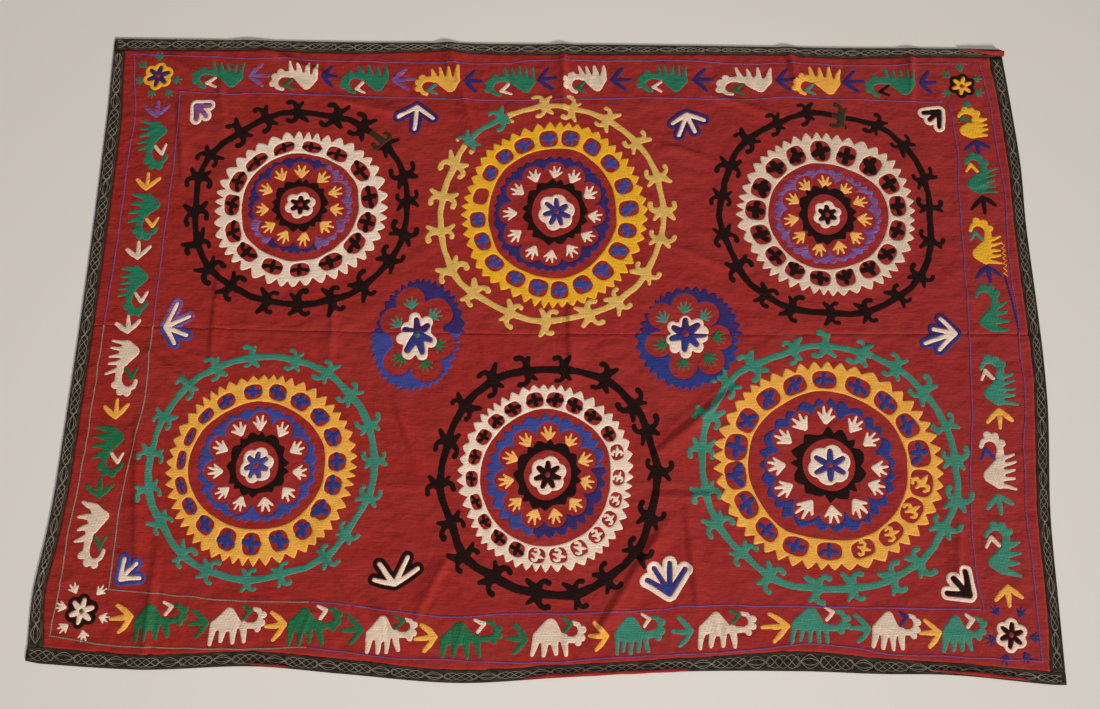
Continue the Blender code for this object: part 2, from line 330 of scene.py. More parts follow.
class HeightMap:
    """Heights over the whole cloth, worked out once on a grid and read between its points."""

    STEP = 2.0
    HALF_X = 800.0
    HALF_Y = 560.0

    def __init__(self) -> None:
        """Lays the grid."""
        columns = np.arange(-self.HALF_X, self.HALF_X + self.STEP, self.STEP)
        rows = np.arange(-self.HALF_Y, self.HALF_Y + self.STEP, self.STEP)
        self.x, self.y = np.meshgrid(columns, rows)
        self.height = np.zeros(self.x.shape)

    def near(self, fold: Fold) -> Tuple[slice, slice]:
        """The part of the grid that a fold can reach.

        Args:
            fold: the fold.

        Returns:
            Its rows and its columns.
        """
        margin = fold.half_width + self.STEP
        first, last = sorted((fold.x0, fold.x1))
        low, high = sorted((fold.y0, fold.y1))
        return (span(low - margin, high + margin, -self.HALF_Y, self.STEP),
                span(first - margin, last + margin, -self.HALF_X, self.STEP))

    def at(self, x: Array, y: Array) -> Array:
        """Heights at some places.

        Args:
            x: the places' X, mm.
            y: their Y.

        Returns:
            The heights there, mm.
        """
        across = (np.asarray(x, float) + self.HALF_X) / self.STEP
        upward = (np.asarray(y, float) + self.HALF_Y) / self.STEP
        column = np.clip(across.astype(int), 0, self.x.shape[1] - 2)
        row = np.clip(upward.astype(int), 0, self.x.shape[0] - 2)
        return between(self.height, (row, row + 1), (column, column + 1),
                       (across - column, upward - row))


def ridge(fold: Fold, x: Array, y: Array) -> Array:
    """Height of one fold at each place: it rises softly and runs out at both ends.

    Args:
        fold: the fold, or a trough where its height is negative.
        x: the places' X, mm.
        y: their Y.

    Returns:
        Its heights, mm.
    """
    run_x = fold.x1 - fold.x0
    run_y = fold.y1 - fold.y0
    length = math.hypot(run_x, run_y)
    share = ((x - fold.x0) * run_x + (y - fold.y0) * run_y) / length ** 2
    aside = np.abs((x - fold.x0) * run_y - (y - fold.y0) * run_x) / length
    across = np.cos(0.5 * math.pi * np.minimum(aside / fold.half_width, 1.0)) ** 2
    along = 1 - np.abs(2 * np.clip(share, 0.0, 1.0) - 1) ** 3
    return fold.height * across * along


@dataclass(frozen=True)
class Lie:
    """How the cloth lies: its heights above the floor, in mm."""

    folds: Sequence[Fold] = tuple(FOLDS)
    creases: Sequence[Fold] = tuple(CREASES)
    pucker_height: float = 0.6       # where the trim draws the cloth in
    seam_pucker: float = 0.45        # beside the seam
    undulation: float = 0.75         # all over
    crest_height: float = 2.1        # the sharper crest that each main fold has
    trough_depth: float = 1.8        # and the trough beside it
    trough_offset: float = 10.0
    crest_half: float = 7.0
    wrinkles: int = 90               # short fine creases, drawn by chance
    wrinkle_starts: Tuple[float, ...] = (-470.0, 478.0, 10.0)    # Y at the long edges and seam
    wrinkle_ends: Tuple[float, ...] = (-728.0, 728.0)            # X at the short edges
    at_short_edges: float = 0.3      # share of them
    wrinkle_length: Tuple[float, float] = (28.0, 95.0)
    wrinkle_height: Tuple[float, float] = (0.6, 1.3)
    wrinkle_half: Tuple[float, float] = (4.5, 7.5)
    border_reach: float = 34.0       # how far in from the edges the puckers reach
    seam_reach: float = 13.0
    noises: Tuple[SmoothNoise, ...] = field(
        default_factory=lambda: (SmoothNoise(34, 5), SmoothNoise(15, 6), SmoothNoise(9, 7)))
    under: HeightMap = field(default_factory=HeightMap)
    over: HeightMap = field(default_factory=HeightMap)

    def __post_init__(self) -> None:
        """Works out both maps: the underside as in the solids, and the relief of the face."""
        for fold in self.folds:
            part = self.under.near(fold)
            rise = ridge(fold, self.under.x[part], self.under.y[part])
            self.under.height[part] = np.maximum(self.under.height[part], rise)
        for crease in list(self.creases) + self.crests() + self.fine_wrinkles():
            part = self.over.near(crease)
            self.over.height[part] += ridge(crease, self.over.x[part], self.over.y[part])
        self.over.height[:] += self.unevenness(self.over.x, self.over.y)

    def crests(self) -> List[Fold]:
        """The sharp crest on each main fold and the trough beside it.

        Returns:
            Two narrow folds for each main one.
        """
        found = []
        for number, fold in enumerate(self.folds):
            length = math.hypot(fold.x1 - fold.x0, fold.y1 - fold.y0)
            hand = 1 if number % 2 else -1
            aside_x = hand * (fold.y1 - fold.y0) / length * self.trough_offset
            aside_y = -hand * (fold.x1 - fold.x0) / length * self.trough_offset
            found.append(Fold(fold.x0, fold.y0, fold.x1, fold.y1, self.crest_height,
                              self.crest_half))
            found.append(Fold(fold.x0 + aside_x, fold.y0 + aside_y, fold.x1 + aside_x,
                              fold.y1 + aside_y, -self.trough_depth, self.crest_half))
        return found

    def fine_wrinkles(self) -> List[Fold]:
        """Short creases that run in from the edges and out from the seam.

        Returns:
            The creases.
        """
        rng = np.random.default_rng(9)
        found = []
        for _ in range(self.wrinkles):
            x = rng.uniform(-730, 730)
            y = rng.choice(self.wrinkle_starts) + rng.uniform(-14, 14)
            if rng.uniform() < self.at_short_edges:
                x = rng.choice(self.wrinkle_ends) + rng.uniform(-8, 8)
                y = rng.uniform(-470, 470)
            # Towards the middle line, or along the cloth from a short edge
            pull = 0.05 if abs(x) < 700 else 20.0
            inward = math.atan2(-y, -x * pull) + rng.uniform(-0.5, 0.5)
            length = rng.uniform(*self.wrinkle_length)
            height = rng.choice((-1, 1)) * rng.uniform(*self.wrinkle_height)
            found.append(Fold(x, y, x + length * math.cos(inward), y + length * math.sin(inward),
                              height, rng.uniform(*self.wrinkle_half)))
        return found

    def unevenness(self, x: Array, y: Array) -> Array:
        """Puckers at the trim and the seam, and the slight unevenness everywhere.

        Args:
            x: the places' X, mm.
            y: their Y.

        Returns:
            The heights, mm.
        """
        broad, middling, fine = self.noises
        height = self.undulation * (0.6 * broad(x, y) + 0.4 * middling(x * 0.7, y * 1.3))
        from_long_edge = np.minimum(FAR_Y - y, y - NEAR_Y)
        from_short_edge = np.minimum(END_X - x, x + END_X)
        long_pucker = np.exp(-(from_long_edge / self.border_reach) ** 2) * fine(x * 0.8, y * 0.16)
        short_pucker = np.exp(-(from_short_edge / self.border_reach) ** 2) * fine(x * 0.16, y * 0.8)
        height = height + self.pucker_height * (long_pucker + short_pucker)
        drawn_in = np.exp(-((y - seam_y(x)) / self.seam_reach) ** 2)
        return height + self.seam_pucker * drawn_in * fine(x * 0.9, y * 0.2 + 90.0)

    def underside(self, x: Array, y: Array) -> Array:
        """Height of the cloth's underside."""
        return self.under.at(x, y)

    def face(self, x: Array, y: Array) -> Array:
        """Height of the cloth's embroidered face."""
        return self.under.at(x, y) + np.maximum(GROUND_THICKNESS + self.over.at(x, y), THINNEST)


LIE = Lie()


def in_frame(points: Array) -> Array:
    """Measured points in mm, moved into the part's frame and turned to metres."""
    return (points - np.array((MIDDLE_X, MIDDLE_Y, 0.0))) * MM


class Patch(NamedTuple):
    """A piece of mesh: points in mm, and its faces as arrays of point numbers."""

    points: Array
    faces: List[Array]


def joined(patches: Iterable[Patch]) -> Patch:
    """Several patches as one.

    Args:
        patches: the patches.

    Returns:
        One patch.
    """
    points = []
    faces = []
    count = 0
    for patch in patches:
        points.append(patch.points)
        faces.extend(face + count for face in patch.faces)
        count += len(patch.points)
    return Patch(np.concatenate(points), faces)


def grid_faces(rows: int, columns: int, first: int = 0, flip: bool = False) -> Array:
    """Quads over a grid of points that is stored row by row.

    Args:
        rows: how many rows of points.
        columns: how many points in a row.
        first: the number of the grid's first point.
        flip: turns the quads over.

    Returns:
        The quads as an array with four columns.
    """
    start = first + np.arange(rows - 1)[:, None] * columns + np.arange(columns - 1)[None, :]
    start = start.ravel()
    quads = np.stack([start, start + 1, start + columns + 1, start + columns], axis=1)
    return quads[:, ::-1] if flip else quads


def slab(x: Array, y: Array, low: Array, high: Array, stride: int = 1) -> Patch:
    """A closed sheet between two heights over one grid.

    Args:
        x: the grid's X, row by row from the near side.
        y: its Y.
        low: heights of the underside.
        high: heights of the face.
        stride: how many cells of the face lie over one of the underside. The cells along
            each side have to be a multiple of it.

    Returns:
        The closed mesh.
    """
    rows, columns = x.shape
    thin = (slice(None, None, stride), slice(None, None, stride))
    coarse = np.arange(x[thin].size).reshape(x[thin].shape) + x.size
    points = np.concatenate([
        np.stack([x.ravel(), y.ravel(), high.ravel()], axis=1),
        np.stack([x[thin].ravel(), y[thin].ravel(), low[thin].ravel()], axis=1)])
    rim, coarse_rim = (
        np.concatenate([number[0, :-1], number[:-1, -1], number[-1, :0:-1], number[:0:-1, 0]])
        for number in (np.arange(x.size).reshape(rows, columns), coarse))
    ahead = [np.roll(rim, -step)[::stride] for step in range(stride, -1, -1)]
    walls = np.stack([coarse_rim, np.roll(coarse_rim, -1)] + ahead, axis=1)
    underside = grid_faces(*coarse.shape, x.size, flip=True)
    return Patch(points, [grid_faces(rows, columns), underside, walls])


def make_piece(name: str, patch: Patch, material: Material,
               smooth: bool = True) -> bpy.types.Object:
    """Makes an object of a patch, which rides on the part's one body.

    Args:
        name: the piece's name.
        patch: its mesh, in mm.
        material: its only material.
        smooth: whether its faces are shaded smoothly.

    Returns:
        The object, linked to the scene.
    """
    mesh = bpy.data.meshes.new(name)
    corners = np.concatenate([face.ravel() for face in patch.faces]).astype(np.int32)
    sizes = np.concatenate([np.full(len(face), face.shape[1]) for face in patch.faces])
    starts = np.concatenate([[0], np.cumsum(sizes)[:-1]]).astype(np.int32)
    mesh.vertices.add(len(patch.points))
    mesh.vertices.foreach_set("co", in_frame(patch.points).astype(np.float32).ravel())
    mesh.loops.add(len(corners))
    mesh.loops.foreach_set("vertex_index", corners)
    mesh.polygons.add(len(sizes))
    mesh.polygons.foreach_set("loop_start", starts)
    mesh.polygons.foreach_set("use_smooth", np.full(len(sizes), smooth))
    mesh.update(calc_edges=True)
    mesh.validate()
    mesh.materials.append(material)
    piece = bpy.data.objects.new(name, mesh)
    bpy.context.scene.collection.objects.link(piece)
    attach(piece, "root")
    log.info("%s: %d triangles", name, int((sizes - 2).sum()))
    return piece


def linear(code: str) -> Tuple[float, float, float, float]:
    """An sRGB hex colour as linear red, green, blue and alpha.

    Args:
        code: the colour.

    Returns:
        Its linear values.
    """
    parts = [int(code[start:start + 2], 16) / 255 for start in (1, 3, 5)]
    shades = [part / 12.92 if part <= 0.04045 else ((part + 0.055) / 1.055) ** 2.4
              for part in parts]
    return (shades[0], shades[1], shades[2], 1.0)


def add_node(tree: Tree, kind: str, inputs: Dict[Any, Any],
             settings: Optional[Dict[str, Any]] = None, output: Any = 0) -> Socket:
    """Adds a node with its settings and inputs.

    Args:
        tree: the node tree.
        kind: the node's type.
        inputs: by name or number, a socket to link or a constant.
        settings: the node's properties by name.
        output: name or number of the output that is wanted.

    Returns:
        That output.
    """
    node = tree.nodes.new(kind)
    for name, value in (settings or {}).items():
        setattr(node, name, value)
    for key, item in inputs.items():
        if isinstance(item, Socket):
            tree.links.new(item, node.inputs[key])
        else:
            node.inputs[key].default_value = item
    return node.outputs[output]


def new_material(name: str, roughness: float, sheen: float, specular: float) -> Material:
    """A Principled material with its even values set on the shader itself.

    Args:
        name: the material's name.
        roughness: how matte it is.
        sheen: weight of the soft edge glow that loose fibres give.
        specular: level of the plain reflection.

    Returns:
        The material.
    """
    material = bpy.data.materials.new(name)
    material.use_nodes = True
    shader = material.node_tree.nodes["Principled BSDF"]
    shader.inputs["Roughness"].default_value = roughness
    shader.inputs["Sheen Weight"].default_value = sheen
    shader.inputs["Sheen Roughness"].default_value = 0.5
    shader.inputs["Specular IOR Level"].default_value = specular
    return material


MIX = "ShaderNodeMix"
MATHS = "ShaderNodeMath"
COLOUR = {"data_type": "RGBA"}
TIMES = {"operation": "MULTIPLY"}
PLUS = {"operation": "ADD"}


def in_cells(tree: Tree, x: float, y: float, z: float = 20.0) -> Socket:
    """The place on the object, counted in cells of x by y by z mm.

    Args:
        tree: the node tree.
        x: a cell's length along X.
        y: along Y.
        z: along Z.

    Returns:
        The vector's socket.
    """
    place = add_node(tree, "ShaderNodeTexCoord", {}, output="Object")
    return add_node(tree, "ShaderNodeVectorMath", {0: place, 1: (1000 / x, 1000 / y, 1000 / z)},
                    TIMES)


class Grain(NamedTuple):
    """Chance light and dark: its cells' size in mm, its finer layers and its strength."""

    x: float
    y: float
    detail: float = 2.0
    strength: float = 1.0
    low: float = 0.35            # the raw value that becomes 0
    high: float = 0.65           # the raw value that becomes the strength


def streaks(tree: Tree, grain: Grain) -> Socket:
    """A grain as a value, spread out so that it fills 0 to its strength.

    Args:
        tree: the node tree.
        grain: its sizes.

    Returns:
        The value's socket.
    """
    raw = add_node(tree, "ShaderNodeTexNoise",
                   {"Vector": in_cells(tree, grain.x, grain.y), "Scale": 1.0,
                    "Detail": grain.detail})
    return add_node(tree, "ShaderNodeMapRange",
                    {"Value": raw, "From Min": grain.low, "From Max": grain.high,
                     "To Max": grain.strength})


def ribs(tree: Tree, pitch: float, direction: str, unevenness: float) -> Socket:
    """Ridges of one pitch in mm across one direction, as a value from 0 to 1.

    Args:
        tree: the node tree.
        pitch: from ridge to ridge, mm.
        direction: the way across them.
        unevenness: how far they stray.

    Returns:
        The value's socket.
    """
    return add_node(tree, "ShaderNodeTexWave",
                    {"Vector": in_cells(tree, 1.0, 1.0, 1.0), "Scale": math.pi / 10 / pitch,
                     "Distortion": unevenness, "Detail": 1.0, "Detail Scale": 0.6},
                    {"wave_type": "BANDS", "bands_direction": direction}, "Fac")


def dressed(material: Material, colour: Socket, height: Socket, depth: float) -> Material:
    """Gives a material its colour and its relief.

    Args:
        material: the material.
        colour: its colour.
        height: its relief, from 0 to 1.
        depth: how many mm the relief stands for.

    Returns:
        The same material.
    """
    tree = material.node_tree
    shader = tree.nodes["Principled BSDF"]
    normal = add_node(tree, "ShaderNodeBump",
                      {"Height": height, "Strength": 0.8, "Distance": depth * MM})
    tree.links.new(colour, shader.inputs["Base Color"])
    tree.links.new(normal, shader.inputs["Normal"])
    return material


@dataclass(frozen=True)
class SilkThread:
    """Silk laid in rows along the cloth and tied down by short slanted stitches.

    The rows give the eye a fine grain along the cloth's length and the ties a slanted fleck
    across it: their sunk lines dip in the relief and are darkened with painted shade. The
    hand-dyed silk drifts between a light and a deep shade.
    """

    label: str
    light: str
    deep: str
    ground_shows: float = 0.0    # share where the laid threads part over the red cloth
    roughness: float = 0.6
    specular: float = 0.15
    row_pitch: float = 2.4       # real rows are about 1.2 mm, drawn wider so that they show
    tie_pitch: float = 5.0       # along a row, from tie to tie
    tie_slant: float = 0.7
    sunk_half: float = 0.42      # half the sunk line between two rows, mm
    # How much painted shade darkens the sunk lines
    sunk_dark: float = 0.6
    relief: float = 0.35         # bump, mm
    drift: Grain = Grain(16.0, 2.6, strength=0.6)
    shade: Grain = Grain(38.0, 30.0, 1.0, 0.28)
    fibre: Grain = Grain(9.0, 0.9)
    # Real gaps are about 1 mm wide, drawn wider so that they show
    gaps: Grain = Grain(20.0, 1.9, 1.0)

    def material(self) -> Material:
        """Builds the silk's material.

        Returns:
            The material.
        """
        material = new_material(f"laid_silk_{self.label}", self.roughness, 0.03, self.specular)
        tree = material.node_tree
        deep = linear(self.deep)
        base = linear(self.light)
        for grain in (self.drift, self.shade):
            base = add_node(tree, MIX, {0: streaks(tree, grain), 6: base, 7: deep}, COLOUR, 2)
        place = in_cells(tree, 1.0, 1.0, 1.0)
        x = add_node(tree, "ShaderNodeSeparateXYZ", {0: place}, output=0)
        y = add_node(tree, "ShaderNodeSeparateXYZ", {0: place}, output=1)
        lean = add_node(tree, MATHS, {0: y, 1: self.tie_slant}, TIMES)
        along = add_node(tree, MATHS, {0: x, 1: lean}, PLUS)
        skewed = add_node(tree, "ShaderNodeCombineXYZ", {0: along, 1: y})
        sunk = add_node(tree, "ShaderNodeTexBrick",
                        {"Vector": skewed, "Scale": 1.0, "Mortar Size": self.sunk_half,
                         "Mortar Smooth": 1.0, "Brick Width": self.tie_pitch,
                         "Row Height": self.row_pitch}, {"offset": 0.5}, "Fac")
        # Painted shade: the sunk lines between the rows and at the ties are darkened towards the
        # deep colour
        dark = add_node(tree, MATHS, {0: sunk, 1: self.sunk_dark}, TIMES)
        base = add_node(tree, MIX, {0: dark, 6: base, 7: deep}, COLOUR, 2)
        if self.ground_shows > 0:
            edge = 0.5 + 0.2 * (0.5 - self.ground_shows)
            gap = streaks(tree, self.gaps._replace(low=edge - 0.02, high=edge + 0.03))
            base = add_node(tree, MIX, {0: gap, 6: base, 7: linear(COTTON.left)}, COLOUR, 2)
        height = add_node(tree, MATHS, {0: streaks(tree, self.fibre), 1: sunk},
                          {"operation": "SUBTRACT"})
        return dressed(material, base, height, self.relief)


@dataclass(frozen=True)
class PlainCotton:
    """Plain-woven red cotton with uneven yarn, faded a little unevenly.

    The weave and its slubs give a dry, slightly ribbed surface, and the colour runs a little
    paler and hazier towards the right, which is a painted sheen of the light.
    """

    label: str
    # Colours at the left and at the right: the right one is paler and hazier with painted sheen
    left: str
    right: str
    worn: str
    shaded: str                  # the deep side of the yarns
    pitch: float = 1.5           # real yarns are about 0.5 mm apart, drawn wider so that they show
    relief: float = 0.2          # bump, mm
    cloud: Grain = Grain(130.0, 90.0, 3.0, 0.4, 0.3, 0.7)
    # Real slubs are about 0.5 mm wide, drawn wider so that they show
    slub: Grain = Grain(30.0, 1.7, 3.0, 0.38)
    warp: Grain = Grain(1.6, 20.0, strength=0.16)
    yarn: Grain = Grain(26.0, 1.1)
    crumple: Grain = Grain(30.0, 22.0, 3.0, 10.0)     # between the mesh's creases and the weave

    def material(self) -> Material:
        """Builds the cotton's material.

        Returns:
            The material.
        """
        material = new_material(f"plain_woven_{self.label}", 0.9, 0.02, 0.06)
        tree = material.node_tree
        along = add_node(tree, "ShaderNodeSeparateXYZ", {0: in_cells(tree, 1000, 1000, 1000)})
        # Painted sheen: the colour grows paler and hazier from the left of the cloth to its right
        painted_sheen_ramp = add_node(tree, "ShaderNodeMapRange",
                        {"Value": along, "From Min": -0.75, "From Max": 0.75})
        base = add_node(tree, MIX, {0: painted_sheen_ramp, 6: linear(self.left), 7: linear(self.right)},
                        COLOUR, 2)
        for grain, shade in ((self.cloud, self.worn), (self.slub, self.shaded),
                             (self.warp, self.worn)):
            base = add_node(tree, MIX, {0: streaks(tree, grain), 6: base, 7: linear(shade)},
                            COLOUR, 2)
        weave = add_node(tree, MATHS, {0: ribs(tree, self.pitch, "X", 0.8),
                                       1: ribs(tree, self.pitch, "Y", 0.8)},
                         {"operation": "MAXIMUM"})
        for grain in (self.yarn, self.crumple):
            weave = add_node(tree, MATHS, {0: weave, 1: streaks(tree, grain)}, PLUS)
        return dressed(material, base, weave, self.relief)


@dataclass(frozen=True)
class WovenBand:
    """Close black wool weave, with a dry dusty surface between the cords on it."""

    label: str
    light: str
    deep: str
    pitch: float = 1.8           # drawn wider than the real 0.8 mm so that it shows
    dust: Grain = Grain(5.0, 5.0, 3.0)

    def material(self) -> Material:
        """Builds the band's material.

        Returns:
            The material.
        """
        material = new_material(f"close_woven_{self.label}", 0.92, 0.02, 0.06)
        tree = material.node_tree
        base = add_node(tree, MIX, {0: streaks(tree, self.dust), 6: linear(self.deep),
                                    7: linear(self.light)}, COLOUR, 2)
        height = add_node(tree, MATHS, {0: ribs(tree, self.pitch, "X", 1.5),
                                        1: ribs(tree, self.pitch, "Y", 1.5)}, TIMES)
        return dressed(material, base, height, 0.3)


@dataclass(frozen=True)
class TwistedCord:
    """Thin twisted cotton cord, which shows slanted plies and has grown grey with handling."""

    label: str
    light: str
    deep: str
    ply_pitch: float = 1.3       # mm
    # Painted shade in the hollows between the plies
    hollow: float = 0.35         # how dark it is between two plies
    grime: Grain = Grain(14.0, 14.0, 3.0)

    def material(self) -> Material:
        """Builds the cord's material.

        Returns:
            The material.
        """
        material = new_material(f"twisted_cord_{self.label}", 0.8, 0.04, 0.12)
        tree = material.node_tree
        grime = streaks(tree, self.grime)
        plies = ribs(tree, self.ply_pitch, "DIAGONAL", 0.5)
        base = add_node(tree, MIX, {0: grime, 6: linear(self.light), 7: linear(self.deep)},
                        COLOUR, 2)
        # Painted shade: the hollows between the plies are darkened towards the deep colour
        hollow = add_node(tree, MATHS, {0: plies, 1: self.hollow}, TIMES)
        base = add_node(tree, MIX, {0: hollow, 6: base, 7: linear(self.deep)}, COLOUR, 2)
        return dressed(material, base, plies, 0.25)


# Each cotton's right colour is paler and hazier than its left: painted sheen
COTTON = PlainCotton("red_ground", left="#95221c", right="#972b2d", worn="#9a3932",
                     shaded="#651311")
FACING = PlainCotton("red_facing", left="#8e2424", right="#932a2d", worn="#9c3a36",
                     shaded="#6e1818")
BLACK_WEAVE = WovenBand("black_band", light="#352e27", deep="#19130f")
OLIVE_CORD = TwistedCord("olive", light="#4f4a3b", deep="#2b2820")
PALE_CORD = TwistedCord("pale", light="#a79d8e", deep="#7b7163")


class Thread(Enum):
    """The silk threads of the embroidery."""

    BLACK = SilkThread("black", "#25120f", "#110605", roughness=0.75, specular=0.06)
    WHITE = SilkThread("white", "#f2decb", "#d4bda8")
    CREAM = SilkThread("cream", "#e6d1bc", "#c6ae97")
    ORANGE = SilkThread("orange_gold", "#f1b34e", "#d69734")
    PALE_GOLD = SilkThread("pale_gold", "#f8bd68", "#dca050")
    YELLOW = SilkThread("yellow", "#f0b62c", "#d59b17")
    STRAW = SilkThread("straw", "#e2bb66", "#c39b49")
    TEAL = SilkThread("teal", "#3f8c77", "#2b6f5d")
    SEA_GREEN = SilkThread("sea_green", "#2a7f5f", "#165f49")
    GREEN = SilkThread("green", "#237147", "#145433")
    INDIGO = SilkThread("indigo", "#362869", "#241850")
    BLUE = SilkThread("blue", "#2e3983", "#202a66")
    BRIGHT_BLUE = SilkThread("bright_blue", "#3f4a98", "#2e3675")
    PURPLE = SilkThread("purple", "#846bab", "#4d3982", ground_shows=0.2)
    RED = SilkThread("red", "#a8303a", "#85202a")
    GREY = SilkThread("grey", "#8d8272", "#6e6455")
    MAUVE = SilkThread("mauve", "#7c4c84", "#5d3766")
    MOSS = SilkThread("moss", "#3c3318", "#211a0d")


# The threads by their own names, which keeps the tables short
(BLACK, WHITE, CREAM, ORANGE, PALE_GOLD, YELLOW, STRAW, TEAL, SEA_GREEN, GREEN,
 INDIGO, BLUE, BRIGHT_BLUE, PURPLE, RED, GREY, MAUVE, MOSS) = Thread


MATERIALS: Dict[str, Material] = {}


def material_of(finish: Any) -> Material:
    """The one material of a finish, built when it is first asked for.

    Args:
        finish: the finish.

    Returns:
        Its material.
    """
    if finish.label not in MATERIALS:
        MATERIALS[finish.label] = finish.material()
    return MATERIALS[finish.label]


class Reach(NamedTuple):
    """A box in plan, in mm."""

    x0: float
    y0: float
    x1: float
    y1: float

    @classmethod
    def around(cls, x: float, y: float, far: float) -> "Reach":
        """The square box that reaches so far from a point."""
        return cls(x - far, y - far, x + far, y + far)


@dataclass(frozen=True)
class Oval:
    """A filled oval, whose rim may carry teeth that point outwards."""

    x: float
    y: float
    rx: float
    ry: float
    turn: float = 0.0            # radians
    teeth: int = 0
    tooth: float = 0.0           # height of a tooth, mm
    roundness: float = 0.5       # 0 for pointed teeth, 1 for round ones
    squareness: float = 0.0      # 0 for an oval, rising towards a square

    def reach(self) -> Reach:
        """The box that the shape lies in."""
        return Reach.around(self.x, self.y, max(self.rx, self.ry) * (1 + self.squareness))

    def depth(self, x: Array, y: Array) -> Array:
        """Depth inside the shape at each place, in mm, negative outside.

        Args:
            x: the places' X, mm.
            y: their Y.

        Returns:
            The depths.
        """
        dx = x - self.x
        dy = y - self.y
        across = (dx * math.cos(self.turn) + dy * math.sin(self.turn)) / self.rx
        upward = (dy * math.cos(self.turn) - dx * math.sin(self.turn)) / self.ry
        distance = np.hypot(across, upward)
        angle = np.arctan2(upward, across)
        if self.squareness:
            distance = distance / (1 + self.squareness * np.sin(2 * angle) ** 2)
        depth = (1 - distance) * math.sqrt(self.rx * self.ry)
        if self.teeth:
            uneven = 0.22 * np.sin(3 * angle + 1.7 * self.teeth) + 0.14 * np.sin(8 * angle + 0.6)
            place = angle / (2 * math.pi) * self.teeth + uneven
            share = place - np.floor(place)
            pointed = 1 - np.abs(2 * share - 1)
            rounded = np.sin(math.pi * share)
            profile = pointed + (rounded - pointed) * self.roundness
            height = self.tooth * (1 + 0.16 * np.sin(5 * angle + 0.9 * self.teeth))
            depth = depth - height * (1 - profile)
        return depth


@dataclass(frozen=True)
class Stroke:
    """A line of stitches through some points, with half its width at each."""

    points: Tuple[Point, ...]
    halves: Tuple[float, ...]

    def reach(self) -> Reach:
        """The box that the shape lies in.

        Returns:
            The box.
        """
        most = max(self.halves)
        xs = [point[0] for point in self.points]
        ys = [point[1] for point in self.points]
        return Reach(min(xs) - most, min(ys) - most, max(xs) + most, max(ys) + most)

    def depth(self, x: Array, y: Array) -> Array:
        """Depth inside the stroke at each place, in mm, negative outside.

        Args:
            x: the places' X, mm.
            y: their Y.

        Returns:
            The depths.
        """
        best = np.full(np.shape(x), FAR_OUTSIDE)
        for index in range(len(self.points) - 1):
            x0, y0 = self.points[index]
            x1, y1 = self.points[index + 1]
            run = (x1 - x0) ** 2 + (y1 - y0) ** 2
            share = np.clip(((x - x0) * (x1 - x0) + (y - y0) * (y1 - y0)) / run, 0.0, 1.0)
            away = np.hypot(x - x0 - share * (x1 - x0), y - y0 - share * (y1 - y0))
            half = self.halves[index] + (self.halves[index + 1] - self.halves[index]) * share
            best = np.maximum(best, half - away)
        return best

    def widened(self, by: float) -> "Stroke":
        """The same stroke, wider by some mm on each side."""
        return Stroke(self.points, tuple(half + by for half in self.halves))


@dataclass(frozen=True)
class Flower:
    """A filled flower with round lobes."""

    x: float
    y: float
    base: float
    lobe: float
    count: int
    turn: float = 0.0

    def reach(self) -> Reach:
        """The box that the shape lies in."""
        return Reach.around(self.x, self.y, self.base + self.lobe)

    def depth(self, x: Array, y: Array) -> Array:
        """Depth inside the flower at each place, in mm, negative outside.

        Args:
            x: the places' X, mm.
            y: their Y.

        Returns:
            The depths.
        """
        angle = np.arctan2(y - self.y, x - self.x) - self.turn
        edge = self.base + self.lobe * np.abs(np.cos(0.5 * self.count * angle))
        return (edge - np.hypot(x - self.x, y - self.y)) * 0.9


@dataclass(frozen=True)
class Sector:
    """The part of the plane between two directions from a point, in degrees."""

    x: float
    y: float
    start: float
    end: float

    def reach(self) -> Optional[Reach]:
        """None: a sector has no box."""
        return None

    def depth(self, x: Array, y: Array) -> Array:
        """Distance inside the nearer side, measured round the point, in mm.

        Args:
            x: the places' X, mm.
            y: their Y.

        Returns:
            The depths.
        """
        middle = math.radians(0.5 * (self.start + self.end))
        half = math.radians(0.5 * (self.end - self.start))
        angle = np.arctan2(y - self.y, x - self.x) - middle
        aside = np.abs(np.arctan2(np.sin(angle), np.cos(angle)))
        return (half - aside) * np.hypot(x - self.x, y - self.y)


@dataclass(frozen=True)
class SeamSide:
    """One side of the seam: above it or below it."""

    above: bool

    def reach(self) -> Optional[Reach]:
        """None: it has no box."""
        return None

    def depth(self, x: Array, y: Array) -> Array:
        """Distance from the seam into this side, in mm."""
        aside = y - seam_y(x)
        return aside if self.above else -aside


@dataclass(frozen=True)
class Wander:
    """How far hand-drawn lines stray from true ones, in mm."""

    seed: int
    fine: float = 0.9
    fine_over: float = 20.0
    broad: float = 0.0
    broad_over: float = 62.0

    def moved(self, x: Array, y: Array) -> Tuple[Array, Array]:
        """The places, strayed.

        Args:
            x: the places' X, mm.
            y: their Y.

        Returns:
            Their new X and Y.
        """
        for offset, amount, over in ((0, self.fine, self.fine_over),
                                     (2, self.broad, self.broad_over)):
            if amount:
                step_x = SmoothNoise(over, self.seed + offset)(x, y)
                step_y = SmoothNoise(over, self.seed + offset + 1)(x, y)
                x = x + amount * step_x
                y = y + amount * step_y
        return x, y


